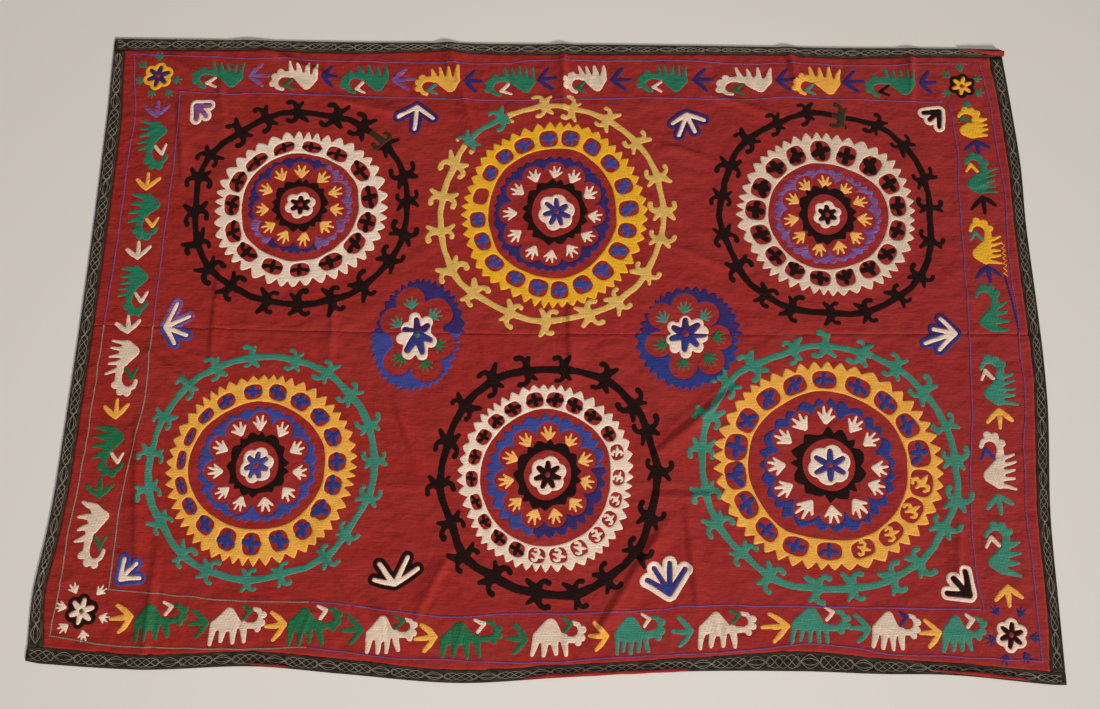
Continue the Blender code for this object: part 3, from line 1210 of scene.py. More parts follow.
# Corners of a cell: s0 to s3, round from the near left one. Edges: e0 near, e1 right, e2 far and
# e3 left. The case is the sum of 1, 2, 4 and 8 for the corners inside the stitches
CELL_CASES = {
    1: (("s0", "e0", "e3"),),
    2: (("e0", "s1", "e1"),),
    3: (("s0", "s1", "e1", "e3"),),
    4: (("e1", "s2", "e2"),),
    5: (("s0", "e0", "e3"), ("e1", "s2", "e2")),
    6: (("e0", "s1", "s2", "e2"),),
    7: (("s0", "s1", "s2", "e2", "e3"),),
    8: (("e3", "e2", "s3"),),
    9: (("s0", "e0", "e2", "s3"),),
    10: (("e0", "s1", "e1"), ("e3", "e2", "s3")),
    11: (("s0", "s1", "e1", "e2", "s3"),),
    12: (("e3", "e1", "s2", "s3"),),
    13: (("s0", "e0", "e1", "s2", "s3"),),
    14: (("e0", "s1", "s2", "s3", "e3"),),
    15: (("s0", "s1", "s2", "s3"),),
}


class StitchField:
    """Depth in mm inside one thread's stitches, on a lattice over a window."""

    def __init__(self, window: Reach, wander: Wander) -> None:
        """Lays the lattice over the window and notes where its points are drawn from.

        Args:
            window: the box that the lattice fills.
            wander: how the drawing strays on it.
        """
        columns = np.arange(window.x0, window.x1 + STITCH_STEP, STITCH_STEP)
        rows = np.arange(window.y0, window.y1 + STITCH_STEP, STITCH_STEP)
        self.window = window
        self.margin = wander.fine + wander.broad + 3 * STITCH_STEP
        self.x, self.y = np.meshgrid(columns, rows)
        self.drawn_x, self.drawn_y = wander.moved(self.x, self.y)
        self.depth = np.full(self.x.shape, FAR_OUTSIDE)

    def blank(self) -> "StitchField":
        """An empty field on the same lattice.

        Returns:
            The field.
        """
        other = object.__new__(StitchField)
        other.__dict__.update(self.__dict__)
        other.depth = np.full(self.x.shape, FAR_OUTSIDE)
        return other

    def cells(self, shape: Any) -> Tuple[slice, slice]:
        """The part of the lattice that a shape can reach.

        Args:
            shape: the shape.

        Returns:
            Its rows and its columns.
        """
        box = shape.reach()
        if box is None:
            return (slice(None), slice(None))
        far = self.margin
        return (span(box.y0 - far, box.y1 + far, self.window.y0, STITCH_STEP),
                span(box.x0 - far, box.x1 + far, self.window.x0, STITCH_STEP))

    def shape_depth(self, shape: Any, cells: Tuple[slice, slice]) -> Array:
        """A shape's depth over some cells."""
        return shape.depth(self.drawn_x[cells], self.drawn_y[cells])

    def add(self, shape: Any) -> None:
        """Adds a shape to the stitches."""
        cells = self.cells(shape)
        self.depth[cells] = np.maximum(self.depth[cells], self.shape_depth(shape, cells))

    def leave_out(self, shape: Any) -> None:
        """Takes a shape out of the stitches."""
        cells = self.cells(shape)
        self.depth[cells] = np.minimum(self.depth[cells], -self.shape_depth(shape, cells))

    def keep_in(self, shape: Any) -> None:
        """Keeps only the stitches inside a shape that has no box."""
        everywhere = (slice(None), slice(None))
        self.depth = np.minimum(self.depth, self.shape_depth(shape, everywhere))

    def patch(self, pillow: float, over: float) -> Optional[Patch]:
        """The raised patch of stitches.

        Args:
            pillow: how high the stitches stand above the cloth away from their edge, mm.
            over: how fast they rise from their edge, mm.

        Returns:
            The patch, or None where the field has no stitches.
        """
        inside = self.depth > 0
        if not inside.any():
            return None
        count = 0
        numbers = {}
        points = []
        for key, found, xs, ys, heights in self.crossings(inside, pillow, over):
            number = np.full(found.shape, -1)
            number[found] = count + np.arange(int(found.sum()))
            numbers[key] = number
            count += int(found.sum())
            points.append(np.stack([xs, ys, heights], axis=1))
        places = {
            "s0": ("s", 0, 0), "s1": ("s", 0, 1), "s2": ("s", 1, 1), "s3": ("s", 1, 0),
            "e0": ("h", 0, 0), "e1": ("v", 0, 1), "e2": ("h", 1, 0), "e3": ("v", 0, 0)}
        corner = inside.astype(int)
        codes = corner[:-1, :-1] + 2 * corner[:-1, 1:] + 4 * corner[1:, 1:] + 8 * corner[1:, :-1]
        faces = []
        for code, polygons in CELL_CASES.items():
            rows, columns = np.nonzero(codes == code)
            for polygon in polygons if len(rows) else ():
                sides = []
                for name in polygon:
                    key, up, right = places[name]
                    sides.append(numbers[key][rows + up, columns + right])
                faces.append(np.stack(sides, axis=1))
        return Patch(np.concatenate(points), faces)

    def crossings(self, inside: Array, pillow: float, over: float
                  ) -> Iterable[Tuple[str, Array, Array, Array, Array]]:
        """The lattice points inside the stitches and the places where their edge crosses it.

        Args:
            inside: which lattice points are inside.
            pillow: how high the stitches stand.
            over: how fast they rise.

        Yields:
            For lattice points, then edges along X, then edges along Y: a key, where they are
            on the lattice, and their X, Y and height.
        """
        xs = self.x[inside]
        ys = self.y[inside]
        raised = pillow * (1 - np.exp(-self.depth[inside] / over))
        yield "s", inside, xs, ys, LIE.face(xs, ys) + raised
        every, but_last, but_first = slice(None), slice(None, -1), slice(1, None)
        for key, near, far in (("h", (every, but_last), (every, but_first)),
                               ("v", (but_last, every), (but_first, every))):
            found = inside[near] != inside[far]
            start = self.depth[near][found]
            end = self.depth[far][found]
            share = np.clip(start / (start - end), 0.02, 0.98)
            xs = self.x[near][found] + share * (self.x[far][found] - self.x[near][found])
            ys = self.y[near][found] + share * (self.y[far][found] - self.y[near][found])
            yield key, found, xs, ys, LIE.face(xs, ys) - STITCH_SINK


class Stitchery:
    """The embroidery of one sub-assembly: a field for each of its threads."""

    GAP = 0.35            # cloth left bare between two colours, mm
    PILLOW = 0.75         # height of the stitches above the cloth, mm
    PILLOW_OVER = 1.1     # how fast they rise from their edge, mm

    def __init__(self, window: Reach, wander: Wander) -> None:
        """Starts with no stitches."""
        self.lattice = StitchField(window, wander)
        self.fields: Dict[Thread, StitchField] = {}

    def lay(self, thread: Thread, shapes: Iterable[Any], without: Iterable[Any] = (),
            within: Iterable[Any] = ()) -> None:
        """Lays stitches, in the place of any that were there.

        Args:
            thread: their thread.
            shapes: shapes to fill.
            without: shapes left bare inside them.
            within: half planes or sectors that the stitches stay in.
        """
        fresh = self.lattice.blank()
        for shape in shapes:
            fresh.add(shape)
        for shape in without:
            fresh.leave_out(shape)
        for shape in within:
            fresh.keep_in(shape)
        for other, laid in self.fields.items():
            if other is not thread:
                laid.depth = np.minimum(laid.depth, -(fresh.depth + self.GAP))
        mine = self.fields.setdefault(thread, self.lattice.blank())
        mine.depth = np.maximum(mine.depth, fresh.depth)

    def patches(self) -> Dict[Thread, Patch]:
        """Each thread's raised patch.

        Returns:
            The patches by thread.
        """
        found = {}
        for thread, laid in self.fields.items():
            patch = laid.patch(self.PILLOW, self.PILLOW_OVER)
            if patch is not None:
                found[thread] = patch
        return found


def sewn(name: str, stitcheries: Iterable[Stitchery]) -> Pieces:
    """One piece for each thread of some stitcheries.

    Args:
        name: the sub-assembly's name, which begins each piece's name.
        stitcheries: its parts.

    Returns:
        The pieces.
    """
    gathered: Dict[Thread, List[Patch]] = {}
    for stitchery in stitcheries:
        for thread, patch in stitchery.patches().items():
            gathered.setdefault(thread, []).append(patch)
    pieces = []
    for thread, patches in gathered.items():
        material = material_of(thread.value)
        pieces.append(make_piece(f"{name}_{thread.value.label}", joined(patches), material))
    return pieces


@dataclass(frozen=True)
class Placement:
    """Where a motif drawn in its own coordinates lies: its origin, turn, size and hand."""

    x: float
    y: float
    turn: float = 0.0            # radians
    size: float = 1.0
    mirrored: bool = False
    stretch: float = 1.0         # along the motif's own x

    def point(self, x: float, y: float) -> Point:
        """A point of the motif in the plan.

        Args:
            x: its X in the motif.
            y: its Y there.

        Returns:
            The point.
        """
        x = x * self.stretch
        y = -y if self.mirrored else y
        cos = math.cos(self.turn) * self.size
        sin = math.sin(self.turn) * self.size
        return (self.x + x * cos - y * sin, self.y + x * sin + y * cos)

    def stroke(self, points: Sequence[Point], halves: Sequence[float]) -> Stroke:
        """A stroke of the motif in the plan."""
        placed = tuple(self.point(x, y) for x, y in points)
        return Stroke(placed, tuple(half * self.size for half in halves))


# Half a whorl in its own plan: x along the vine, y away from it
HOOK_POINTS = ((0, 0), (-1.2, 5.5), (-0.8, 10.4), (1.4, 14.5), (5.2, 16.8), (9.6, 16))
HOOK_HALVES = (6.6, 4.8, 4.0, 3.6, 3.5, 4.1)
LEAF_POINTS = ((0, 0), (-4.6, 8), (-11.5, 15.5))
LEAF_HALVES = (6.6, 4.9, 3.0)


def fan(x: float, y: float, aim: float, thread_halves: Tuple[float, float],
        fingers: Sequence[Tuple[float, float]]) -> List[Stroke]:
    """Fingers that spread from one point.

    Args:
        x: the point's X.
        y: its Y.
        aim: the fan's direction in degrees.
        thread_halves: half width at the root and the tip of each finger.
        fingers: each finger's angle from the aim in degrees, and its length.

    Returns:
        The fingers.
    """
    strokes = []
    for angle, length in fingers:
        turn = math.radians(aim + angle)
        tip = (x + length * math.cos(turn), y + length * math.sin(turn))
        strokes.append(Stroke(((x, y), tip), thread_halves))
    return strokes


def sprig(x: float, y: float, aim: float, size: float = 1.0) -> List[Stroke]:
    """The small four-fingered sprig that stands in the bays, its foot at a point."""
    fingers = ((-46, 13 * size), (-17, 17.5 * size), (13, 18 * size), (43, 13.5 * size))
    return fan(x, y, aim, (3.3 * size, 1.6 * size), fingers)


def petals(x: float, y: float, turn: float, count: int, length: float, half: float
           ) -> List[Stroke]:
    """A star of rounded petals round a point.

    Args:
        x: the middle's X.
        y: its Y.
        turn: direction of the first petal, in degrees.
        count: how many petals.
        length: how far they reach.
        half: half their greatest width.

    Returns:
        The petals.
    """
    strokes = []
    for index in range(count):
        angle = math.radians(turn + 360 * index / count)
        points = tuple((x + length * share * math.cos(angle), y + length * share * math.sin(angle))
                       for share in (0.0, 0.6, 0.88))
        strokes.append(Stroke(points, (half * 0.9, half, half * 0.75)))
    return strokes


class EyeletFill(Enum):
    """What is sewn inside an eyelet of a rim."""

    CROSS = "cross"
    PALMETTE = "palmette"
    PLAIN = "plain"


@dataclass(frozen=True)
class Vine:
    """The ring vine round a wheel: each whorl has two hooks ahead and two leaves behind."""

    x: float
    y: float
    rx: float
    ry: float
    whorls: int
    thread: Thread
    first: float = 4.0           # direction of the first whorl, degrees
    half: float = 4.9
    arm_size: float = 1.0
    lean: float = 0.0            # how far the hooks lean along the vine, degrees
    mended: Tuple[Tuple[float, float, Thread], ...] = ()   # sectors sewn in another thread
    squareness: float = 0.018
    stray: float = 0.13          # of a whorl along the vine, as a share of their pitch
    in_or_out: float = 0.016     # of a whorl, as a share of its distance
    twist: float = 15.0          # of its arms, degrees
    sizes: Tuple[float, float] = (0.9, 1.16)       # of its arms
    swell: Tuple[float, float] = (1.15, 0.94)      # of the line at a whorl and between two

    def at(self, angle: float, far: float) -> Point:
        """A point of the vine in a direction, radians, at a share of its distance.

        Args:
            angle: the direction.
            far: the share.

        Returns:
            The point.
        """
        square = far * (1 + self.squareness * math.sin(2 * angle) ** 2)
        return (self.x + self.rx * square * math.cos(angle),
                self.y + self.ry * square * math.sin(angle))

    def shapes(self, seed: int) -> List[Any]:
        """The vine's line and its whorls.

        Args:
            seed: of its irregularities.

        Returns:
            The line first, then the whorls' strokes.
        """
        rng = np.random.default_rng(seed)
        pitch = 2 * math.pi / self.whorls
        angles = [math.radians(self.first) + pitch * (index + rng.uniform(-self.stray, self.stray))
                  for index in range(self.whorls)]
        shares = [1 + rng.uniform(-self.in_or_out, self.in_or_out) for _ in angles]
        line: List[Point] = []
        for index, angle in enumerate(angles):
            following = angles[index + 1] if index + 1 < len(angles) else angles[0] + 2 * math.pi
            next_share = shares[(index + 1) % len(shares)]
            line.append(self.at(angle, shares[index]))
            line.append(self.at(0.5 * (angle + following), 0.5 * (shares[index] + next_share)))
        line.append(line[0])
        halves = [self.half * self.swell[index % 2] for index in range(len(line))]
        shapes: List[Any] = [Stroke(tuple(line), tuple(halves))]
        for angle, share in zip(angles, shares):
            x, y = self.at(angle, share)
            along = math.atan2(math.cos(angle) * self.ry, -math.sin(angle) * self.rx)
            for outer in (True, False):
                for points, halves_of, lean in ((HOOK_POINTS, HOOK_HALVES, self.lean),
                                                (LEAF_POINTS, LEAF_HALVES, 0.0)):
                    side = 1 if outer else -1
                    twist = rng.uniform(-self.twist, self.twist)
                    turn = along + side * math.radians(lean + twist)
                    size = self.arm_size * rng.uniform(*self.sizes)
                    spot = Placement(x, y, turn, size, outer)
                    shapes.append(spot.stroke(points, halves_of))
        return shapes

    def sew(self, stitchery: Stitchery, seed: int) -> None:
        """Lays the vine.

        Args:
            stitchery: where it is laid.
            seed: of its irregularities.
        """
        shapes = self.shapes(seed)
        stitchery.lay(self.thread, shapes)
        for start, end, thread in self.mended:
            stitchery.lay(thread, shapes, within=[Sector(self.x, self.y, start, end)])


@dataclass(frozen=True)
class Rim:
    """The broad toothed rim, pierced by oval eyelets with small crosses in them."""

    outer: Tuple[float, float, float, float]     # x, y, rx and ry of the teeth's tips
    inner: Tuple[float, float, float, float]     # x, y, rx and ry of the opening
    eyelets: int
    teeth: int
    thread: Thread
    cross_thread: Thread
    first: float = 0.0                           # direction of the first eyelet, degrees
    tooth: float = 11.5
    roundness: float = 0.45
    palmettes: Tuple[float, float] = (0.0, 0.0)  # sector whose eyelets hold palmettes
    plain: Tuple[float, float] = (0.0, 0.0)      # sector whose eyelets are empty
    lip: float = 4.2                             # rim left inside and outside an eyelet, mm
    web: float = 4.3                             # half the rim left between two eyelets, mm
    arm: float = 0.62                            # reach of the crosses along the rim
    arm_half: float = 0.27                       # half their arms' width, of an eyelet's half
    tip: Tuple[float, float] = (0.55, 0.66)      # reach of the crosses across the rim
    squareness: Tuple[float, float] = (0.012, 0.1)   # of the rim and of its eyelets
    stray: float = 0.045                         # of an eyelet, as a share of their pitch
    twist: float = 9.0                           # of a cross, degrees

    def fill_at(self, angle: float) -> EyeletFill:
        """What the eyelet in this direction holds, in degrees from 0 to 360.

        Args:
            angle: the direction.

        Returns:
            The fill.
        """
        for (start, end), fill in ((self.palmettes, EyeletFill.PALMETTE),
                                   (self.plain, EyeletFill.PLAIN)):
            if (angle - start) % 360 < (end - start):
                return fill
        return EyeletFill.CROSS

    def sew(self, stitchery: Stitchery, seed: int) -> None:
        """Lays the rim, then what its eyelets hold.

        Args:
            stitchery: where it is laid.
            seed: of its irregularities.
        """
        rng = np.random.default_rng(seed)
        ox, oy, orx, ory = self.outer
        ix, iy, irx, iry = self.inner
        body = Oval(ox, oy, orx, ory, teeth=self.teeth, tooth=self.tooth,
                    roundness=self.roundness, squareness=self.squareness[0])
        opening = Oval(ix, iy, irx, iry)
        eyelets = []
        fills = []
        pitch = 2 * math.pi / self.eyelets
        for index in range(self.eyelets):
            step = index + rng.uniform(-self.stray, self.stray)
            angle = math.radians(self.first) + pitch * step
            cos, sin = math.cos(angle), math.sin(angle)
            outer_x = ox + (orx - self.tooth) * cos
            outer_y = oy + (ory - self.tooth) * sin
            inner_x = ix + irx * cos
            inner_y = iy + iry * sin
            x = 0.5 * (outer_x + inner_x)
            y = 0.5 * (outer_y + inner_y)
            radial = 0.5 * math.hypot(outer_x - inner_x, outer_y - inner_y) - self.lip
            around = (0.5 * pitch * math.hypot(x - ox, y - oy) - self.web) * rng.uniform(0.95, 1.02)
            fill = self.fill_at(math.degrees(angle) % 360)
            eyelets.append(Oval(x, y, radial, around, turn=angle, squareness=self.squareness[1]))
            twist = math.radians(rng.uniform(-self.twist, self.twist))
            fills.append((fill, Placement(x, y, angle + twist), radial, around))
        stitchery.lay(self.thread, [body], without=[opening] + eyelets)
        for fill, spot, radial, around in fills:
            if fill is EyeletFill.CROSS:
                stitchery.lay(self.cross_thread, self.cross(spot, radial, around, rng))
            elif fill is EyeletFill.PALMETTE:
                stitchery.lay(self.thread, self.palmette(spot, min(radial, around)))

    def cross(self, spot: Placement, radial: float, around: float, rng: np.random.Generator
              ) -> List[Stroke]:
        """A lobed cross that fills an eyelet.

        Args:
            spot: the eyelet's place, with its x pointing away from the wheel's middle.
            radial: half the eyelet's breadth.
            around: half its length along the rim.
            rng: the source of its irregularities.

        Returns:
            The cross's four arms, of which the two along the rim curl a little.
        """
        thick = self.arm_half * min(radial, around)
        arms = []
        for hand in (1, -1):
            reach = around * self.arm * rng.uniform(0.92, 1.08)
            curl = rng.uniform(-0.5, 0.3) * radial
            arms.append(spot.stroke(((0, 0), (0, 0.6 * hand * reach), (curl, hand * reach)),
                                    (thick, thick * 0.9, thick * 1.2)))
            tip = hand * radial * rng.uniform(*self.tip)
            arms.append(spot.stroke(((0, 0), (tip, rng.uniform(-1.5, 1.5))),
                                    (thick, thick * 1.15)))
        return arms

    def palmette(self, spot: Placement, room: float) -> List[Stroke]:
        """A small palmette in the rim's own thread: a point, a crown and two curled arms.

        Args:
            spot: the eyelet's place.
            room: half its lesser breadth.

        Returns:
            The strokes.
        """
        size = room / 17.5
        placed = Placement(spot.x, spot.y, spot.turn + 1.2, size)
        shapes = [placed.stroke(((-2, 0), (9, 0), (17, 0)), (5.0, 4.2, 1.6)),
                  placed.stroke(((0, 0), (-11, 2)), (4.6, 2.8))]
        for mirrored in (False, True):
            arm = Placement(spot.x, spot.y, placed.turn + math.pi, size, mirrored)
            shapes.append(arm.stroke(((0, 2), (-3, 10), (3, 14), (8, 11)), (4.2, 3.6, 3.2, 3.2)))
        return shapes


@dataclass(frozen=True)
class ScallopedRing:
    """The ring inside the rim: fine teeth outside, and round bays with sprigs inside."""

    x: float
    y: float
    rx: float
    ry: float
    bays: int
    bay_at: float                # distance of the bays' middles
    bay_radius: float
    thread: Thread
    sprig_thread: Thread
    first: float = 90.0
    teeth: int = 32
    tooth: float = 5.6
    sprig_size: float = 1.08
    mended: Tuple[Tuple[float, float, Thread], ...] = ()
    roundness: float = 0.6       # of its teeth
    foot: float = 8.0            # from a bay's middle to its sprig's foot
    stray: float = 0.08          # of a bay, as a share of their pitch
    twist: float = 12.0          # of a sprig, degrees

    def sew(self, stitchery: Stitchery, seed: int) -> None:
        """Lays the ring, the sectors in other threads, and the sprigs.

        Args:
            stitchery: where it is laid.
            seed: of its irregularities.
        """
        rng = np.random.default_rng(seed)
        flat = self.ry / self.rx
        body = Oval(self.x, self.y, self.rx, self.ry, teeth=self.teeth, tooth=self.tooth,
                    roundness=self.roundness)
        bare = [Oval(self.x, self.y, self.bay_at, self.bay_at * flat)]
        feet = []
        for index in range(self.bays):
            turn = self.first + 360 * (index + rng.uniform(-self.stray, self.stray)) / self.bays
            angle = math.radians(turn)
            x = self.x + self.bay_at * math.cos(angle)
            y = self.y + self.bay_at * flat * math.sin(angle)
            bare.append(Oval(x, y, self.bay_radius, self.bay_radius))
            foot_at = self.bay_at - self.foot
            feet.append((self.x + foot_at * math.cos(angle),
                         self.y + foot_at * flat * math.sin(angle), turn))
        stitchery.lay(self.thread, [body], without=bare)
        for start, end, thread in self.mended:
            stitchery.lay(thread, [body], without=bare,
                          within=[Sector(self.x, self.y, start, end)])
        for x, y, turn in feet:
            aim = turn + rng.uniform(-self.twist, self.twist)
            stitchery.lay(self.sprig_thread, sprig(x, y, aim, self.sprig_size))


@dataclass(frozen=True)
class Heart:
    """The middle of a wheel: a toothed black ring round a lobed flower with a star in it."""

    x: float
    y: float
    ring_inner: float
    ring_outer: float
    star_thread: Thread
    star_points: int
    teeth: int = 15
    tooth: float = 7.0
    flower: float = 19.5
    star: float = 15.0
    star_half: float = 4.3
    star_turn: float = 90.0
    upright: float = 1.04        # height of the ring against its width
    lobe: float = 4.6
    lobes: int = 6
    dot: float = 3.3
    ring_thread: Thread = BLACK
    flower_thread: Thread = WHITE

    def sew(self, stitchery: Stitchery) -> None:
        """Lays the ring, the flower, the star and its red dot.

        Args:
            stitchery: where it is laid.
        """
        ring = Oval(self.x, self.y, self.ring_outer, self.ring_outer * self.upright,
                    teeth=self.teeth, tooth=self.tooth, roundness=0.2)
        inner = Oval(self.x, self.y, self.ring_inner, self.ring_inner * self.upright)
        flower = Flower(self.x, self.y, self.flower, self.lobe, self.lobes, 0.3)
        stitchery.lay(self.ring_thread, [ring], without=[inner])
        stitchery.lay(self.flower_thread, [flower])
        stitchery.lay(self.star_thread, petals(self.x, self.y, self.star_turn, self.star_points,
                                               self.star, self.star_half))
        stitchery.lay(RED, [Oval(self.x, self.y, self.dot, self.dot)])


@dataclass(frozen=True)
class Wheel:
    """A wheel medallion: its vine, toothed rim, scalloped ring and heart."""

    name: str
    seed: int
    vine: Vine
    rim: Rim
    ring: ScallopedRing
    heart: Heart
    margin: float = 34.0

    def build(self) -> Pieces:
        """Sews the wheel and makes a piece of each of its threads.

        Returns:
            The pieces.
        """
        vine = self.vine
        window = Reach(vine.x - vine.rx - self.margin, vine.y - vine.ry - self.margin,
                       vine.x + vine.rx + self.margin, vine.y + vine.ry + self.margin)
        stitchery = Stitchery(window, Wander(self.seed, fine=1.0, broad=3.4))
        vine.sew(stitchery, self.seed)
        self.rim.sew(stitchery, self.seed + 1)
        self.ring.sew(stitchery, self.seed + 2)
        self.heart.sew(stitchery)
        return sewn(self.name, [stitchery])


WHEELS = [
    Wheel(
        "wheel_far_left", 101,
        Vine(-418.5, 210, 176, 165, 20, BLACK, half=5.4, arm_size=1.12, lean=6,
             mended=((40, 50, MOSS),)),
        Rim((-419, 208, 144, 135), (-421, 210, 96, 93), 15, 42, WHITE, BLACK,
            first=12, roundness=0.8, lip=4.4, web=5.6, tooth=12.5, arm=0.8,
            arm_half=0.3),
        ScallopedRing(-421, 213, 87, 85, 11, 60, 17.5, INDIGO, PALE_GOLD,
                      mended=((-62, 60, PURPLE), (200, 236, PURPLE))),
        Heart(-419, 212, 31, 46, BLACK, 6, teeth=16)),
    Wheel(
        "wheel_far_middle", 111,
        Vine(-7.5, 208, 182, 183, 19, STRAW, arm_size=1.1,
             mended=((115, 141, TEAL),)),
        Rim((-4, 206, 152, 160), (-6, 207, 104, 112), 20, 54, YELLOW, BRIGHT_BLUE,
            first=6, roundness=0.35, lip=5.2, web=5.4, tooth=10.0, plain=(158, 176)),
        ScallopedRing(-6, 205, 96, 100, 12, 68, 18.0, INDIGO, WHITE, teeth=36),
        Heart(-2, 208, 39, 54, BLUE, 7, teeth=16, flower=26.5, star=23, star_half=4.1)),
    Wheel(
        "wheel_far_right", 121,
        Vine(437, 215, 172, 173, 19, BLACK, half=5.3,
             mended=((77, 84, MOSS),)),
        Rim((437, 214, 145, 141), (438, 210, 97, 90), 17, 48, CREAM, BLACK,
            first=8, roundness=0.5, arm_half=0.32),
        ScallopedRing(437, 210, 88, 82, 11, 60, 17.0, PURPLE, PALE_GOLD),
        Heart(437, 211, 32, 49, BLACK, 6, teeth=15)),
    Wheel(
        "wheel_near_left", 131,
        Vine(-444.5, -209, 172, 169, 19, TEAL, half=5.4, arm_size=0.92),
        Rim((-444, -214, 147, 146), (-450, -211, 105, 96), 19, 52, ORANGE, BLUE,
            first=5, roundness=0.3, lip=5.4, web=5.6, arm=0.72, arm_half=0.3),
        ScallopedRing(-450, -210, 92, 88, 11, 64, 17.5, BRIGHT_BLUE, WHITE),
        Heart(-450, -210, 32, 48, BRIGHT_BLUE, 7, teeth=15, flower=21.5, star=18,
              star_half=3.8)),
    Wheel(
        "wheel_near_middle", 141,
        Vine(-1, -220, 164, 172, 18, BLACK, half=6.2, arm_size=1.14),
        Rim((-6, -219, 134, 144), (-7, -220, 99.5, 103), 22, 52, WHITE, BLACK,
            first=3, roundness=0.4, palmettes=(262, 382), lip=3.6, tooth=10.0, arm=0.72,
            arm_half=0.3),
        ScallopedRing(-7, -218, 93, 95, 11, 61, 17.5, BRIGHT_BLUE, PALE_GOLD,
                      teeth=28, tooth=9.0, mended=((-100, 10, INDIGO),)),
        Heart(-6, -218, 35, 52, BLACK, 7, teeth=15, flower=24.5, star=20.5,
              star_half=4.3)),
    Wheel(
        "wheel_near_right", 151,
        Vine(422, -191, 192, 184, 21, TEAL, half=5.4, arm_size=1.1),
        Rim((421, -191, 174, 158), (422, -192, 122, 112), 18, 48, ORANGE, BLUE,
            first=9, tooth=12.0, roundness=0.35, palmettes=(282, 360)),
        ScallopedRing(422, -192, 105, 102, 12, 75, 18.5, BLUE, WHITE, teeth=27,
                      tooth=9.5, sprig_size=1.28),
        Heart(422, -192, 39, 57, BLUE, 6, teeth=13, tooth=10, flower=28.5, star=26,
              star_half=4.5)),
]


class Bay(NamedTuple):
    """A round bay of a small rosette, in mm, and the direction of its sprig in degrees."""

    x: float
    y: float
    radius: float
    aim: float


@dataclass(frozen=True)
class RosetteHalf:
    """The part of a small rosette that was sewn on one panel."""

    above: bool
    ring_thread: Thread
    sprig_thread: Thread
    shift: float                             # how far the panels missed each other here, mm
    bays: Tuple[Bay, ...]
    lobes: Tuple[Point, ...]                 # middles of the white flower's lobes
    rays: Tuple[Point, ...]                  # tips of the star's rays


@dataclass(frozen=True)
class SmallRosette:
    """A small rosette that was sewn half on each panel, in threads that don't quite match."""

    name: str
    seed: int
    x: float
    y: float
    rx: float
    ry: float
    teeth: int
    middle: Point                # of the flower
    core: float                  # radius of the bare middle
    dot_thread: Thread
    halves: Tuple[RosetteHalf, RosetteHalf]
    lobe_half: float = 9.5
    ray_half: float = 4.0
    tooth: float = 7.5
    dot: float = 3.8

    def build(self) -> Pieces:
        """Sews the rosette and makes a piece of each of its threads.

        Returns:
            The pieces.
        """
        window = Reach.around(self.x, self.y, max(self.rx, self.ry) + 14)
        stitchery = Stitchery(window, Wander(self.seed, fine=1.2, broad=1.8))
        bare = [Oval(*self.middle, self.core, self.core)]
        bare += [Oval(bay.x, bay.y, bay.radius, bay.radius)
                 for half in self.halves for bay in half.bays]
        for half in self.halves:
            side = [SeamSide(half.above)]
            body = Oval(self.x + half.shift, self.y, self.rx, self.ry, teeth=self.teeth,
                        tooth=self.tooth, roundness=0.4)
            stitchery.lay(half.ring_thread, [body], without=bare, within=side)
            for bay in half.bays:
                turn = math.radians(bay.aim)
                foot_x = bay.x - 0.5 * bay.radius * math.cos(turn)
                foot_y = bay.y - 0.5 * bay.radius * math.sin(turn)
                stitchery.lay(half.sprig_thread, feathered(foot_x, foot_y, bay.aim))
        for half in self.halves:
            side = [SeamSide(half.above)]
            lobes = [Stroke((self.middle, lobe), (2.2 * self.lobe_half, self.lobe_half))
                     for lobe in half.lobes]
            stitchery.lay(WHITE, lobes, within=side)
        for half in self.halves:
            rays = [Stroke((self.middle, ray), (1.9 * self.ray_half, self.ray_half))
                    for ray in half.rays]
            thread = INDIGO if half.above else BLUE
            stitchery.lay(thread, rays, within=[SeamSide(half.above)])
        stitchery.lay(self.dot_thread, [Oval(*self.middle, self.dot, self.dot)])
        return sewn(self.name, [stitchery])


def feathered(x: float, y: float, aim: float) -> List[Stroke]:
    """The thin five-fingered sprig of the small rosettes, its foot at a point."""
    fingers = ((-58, 14), (-29, 18), (-2, 20), (25, 18), (52, 15))
    return fan(x, y, aim, (2.7, 1.3), fingers)


ROSETTES = [
    SmallRosette(
        "rosette_left", 201, -213, -1, 72, 93, 38, (-214, -3), 40, SEA_GREEN,
        (RosetteHalf(
            True, INDIGO, TEAL, 2.0,
            (Bay(-228, 53, 23, 95), Bay(-186, 34, 24, 40), Bay(-252, 19, 22, 145)),
            ((-220, 25), (-200, 18), (-232, 9)),
            ((-217, 21), (-199, 12), (-235, 6))),
         RosetteHalf(
            False, BRIGHT_BLUE, GREEN, -5.0,
            (Bay(-176, -18, 21, -8), Bay(-198, -52, 24, -65), Bay(-243, -43, 22, 235)),
            ((-192, -12), (-206, -32), (-228, -31), (-238, -8)),
            ((-194, -9), (-206, -28), (-230, -26)))),
    ),
    SmallRosette(
        "rosette_right", 211, 213, 4, 82, 84, 36, (209, 7), 41, RED,
        (RosetteHalf(
            True, INDIGO, TEAL, 3.0,
            (Bay(206, 53, 21, 88), Bay(240, 41, 21, 38), Bay(170, 36, 21, 122)),
            ((208, 28), (227, 24), (188, 19), (235, 12)),
            ((208, 30), (227, 22), (190, 18))),
         RosetteHalf(
            False, BLUE, GREEN, -3.0,
            (Bay(261, 4, 19, 0), Bay(246, -32, 21, -42), Bay(204, -41, 21, -88),
             Bay(166, -9, 20, 185)),
            ((186, -1), (191, -13), (208, -20), (227, -12), (234, 4)),
            ((186, 1), (206, -16), (225, -8), (238, 8)))),
    ),
]


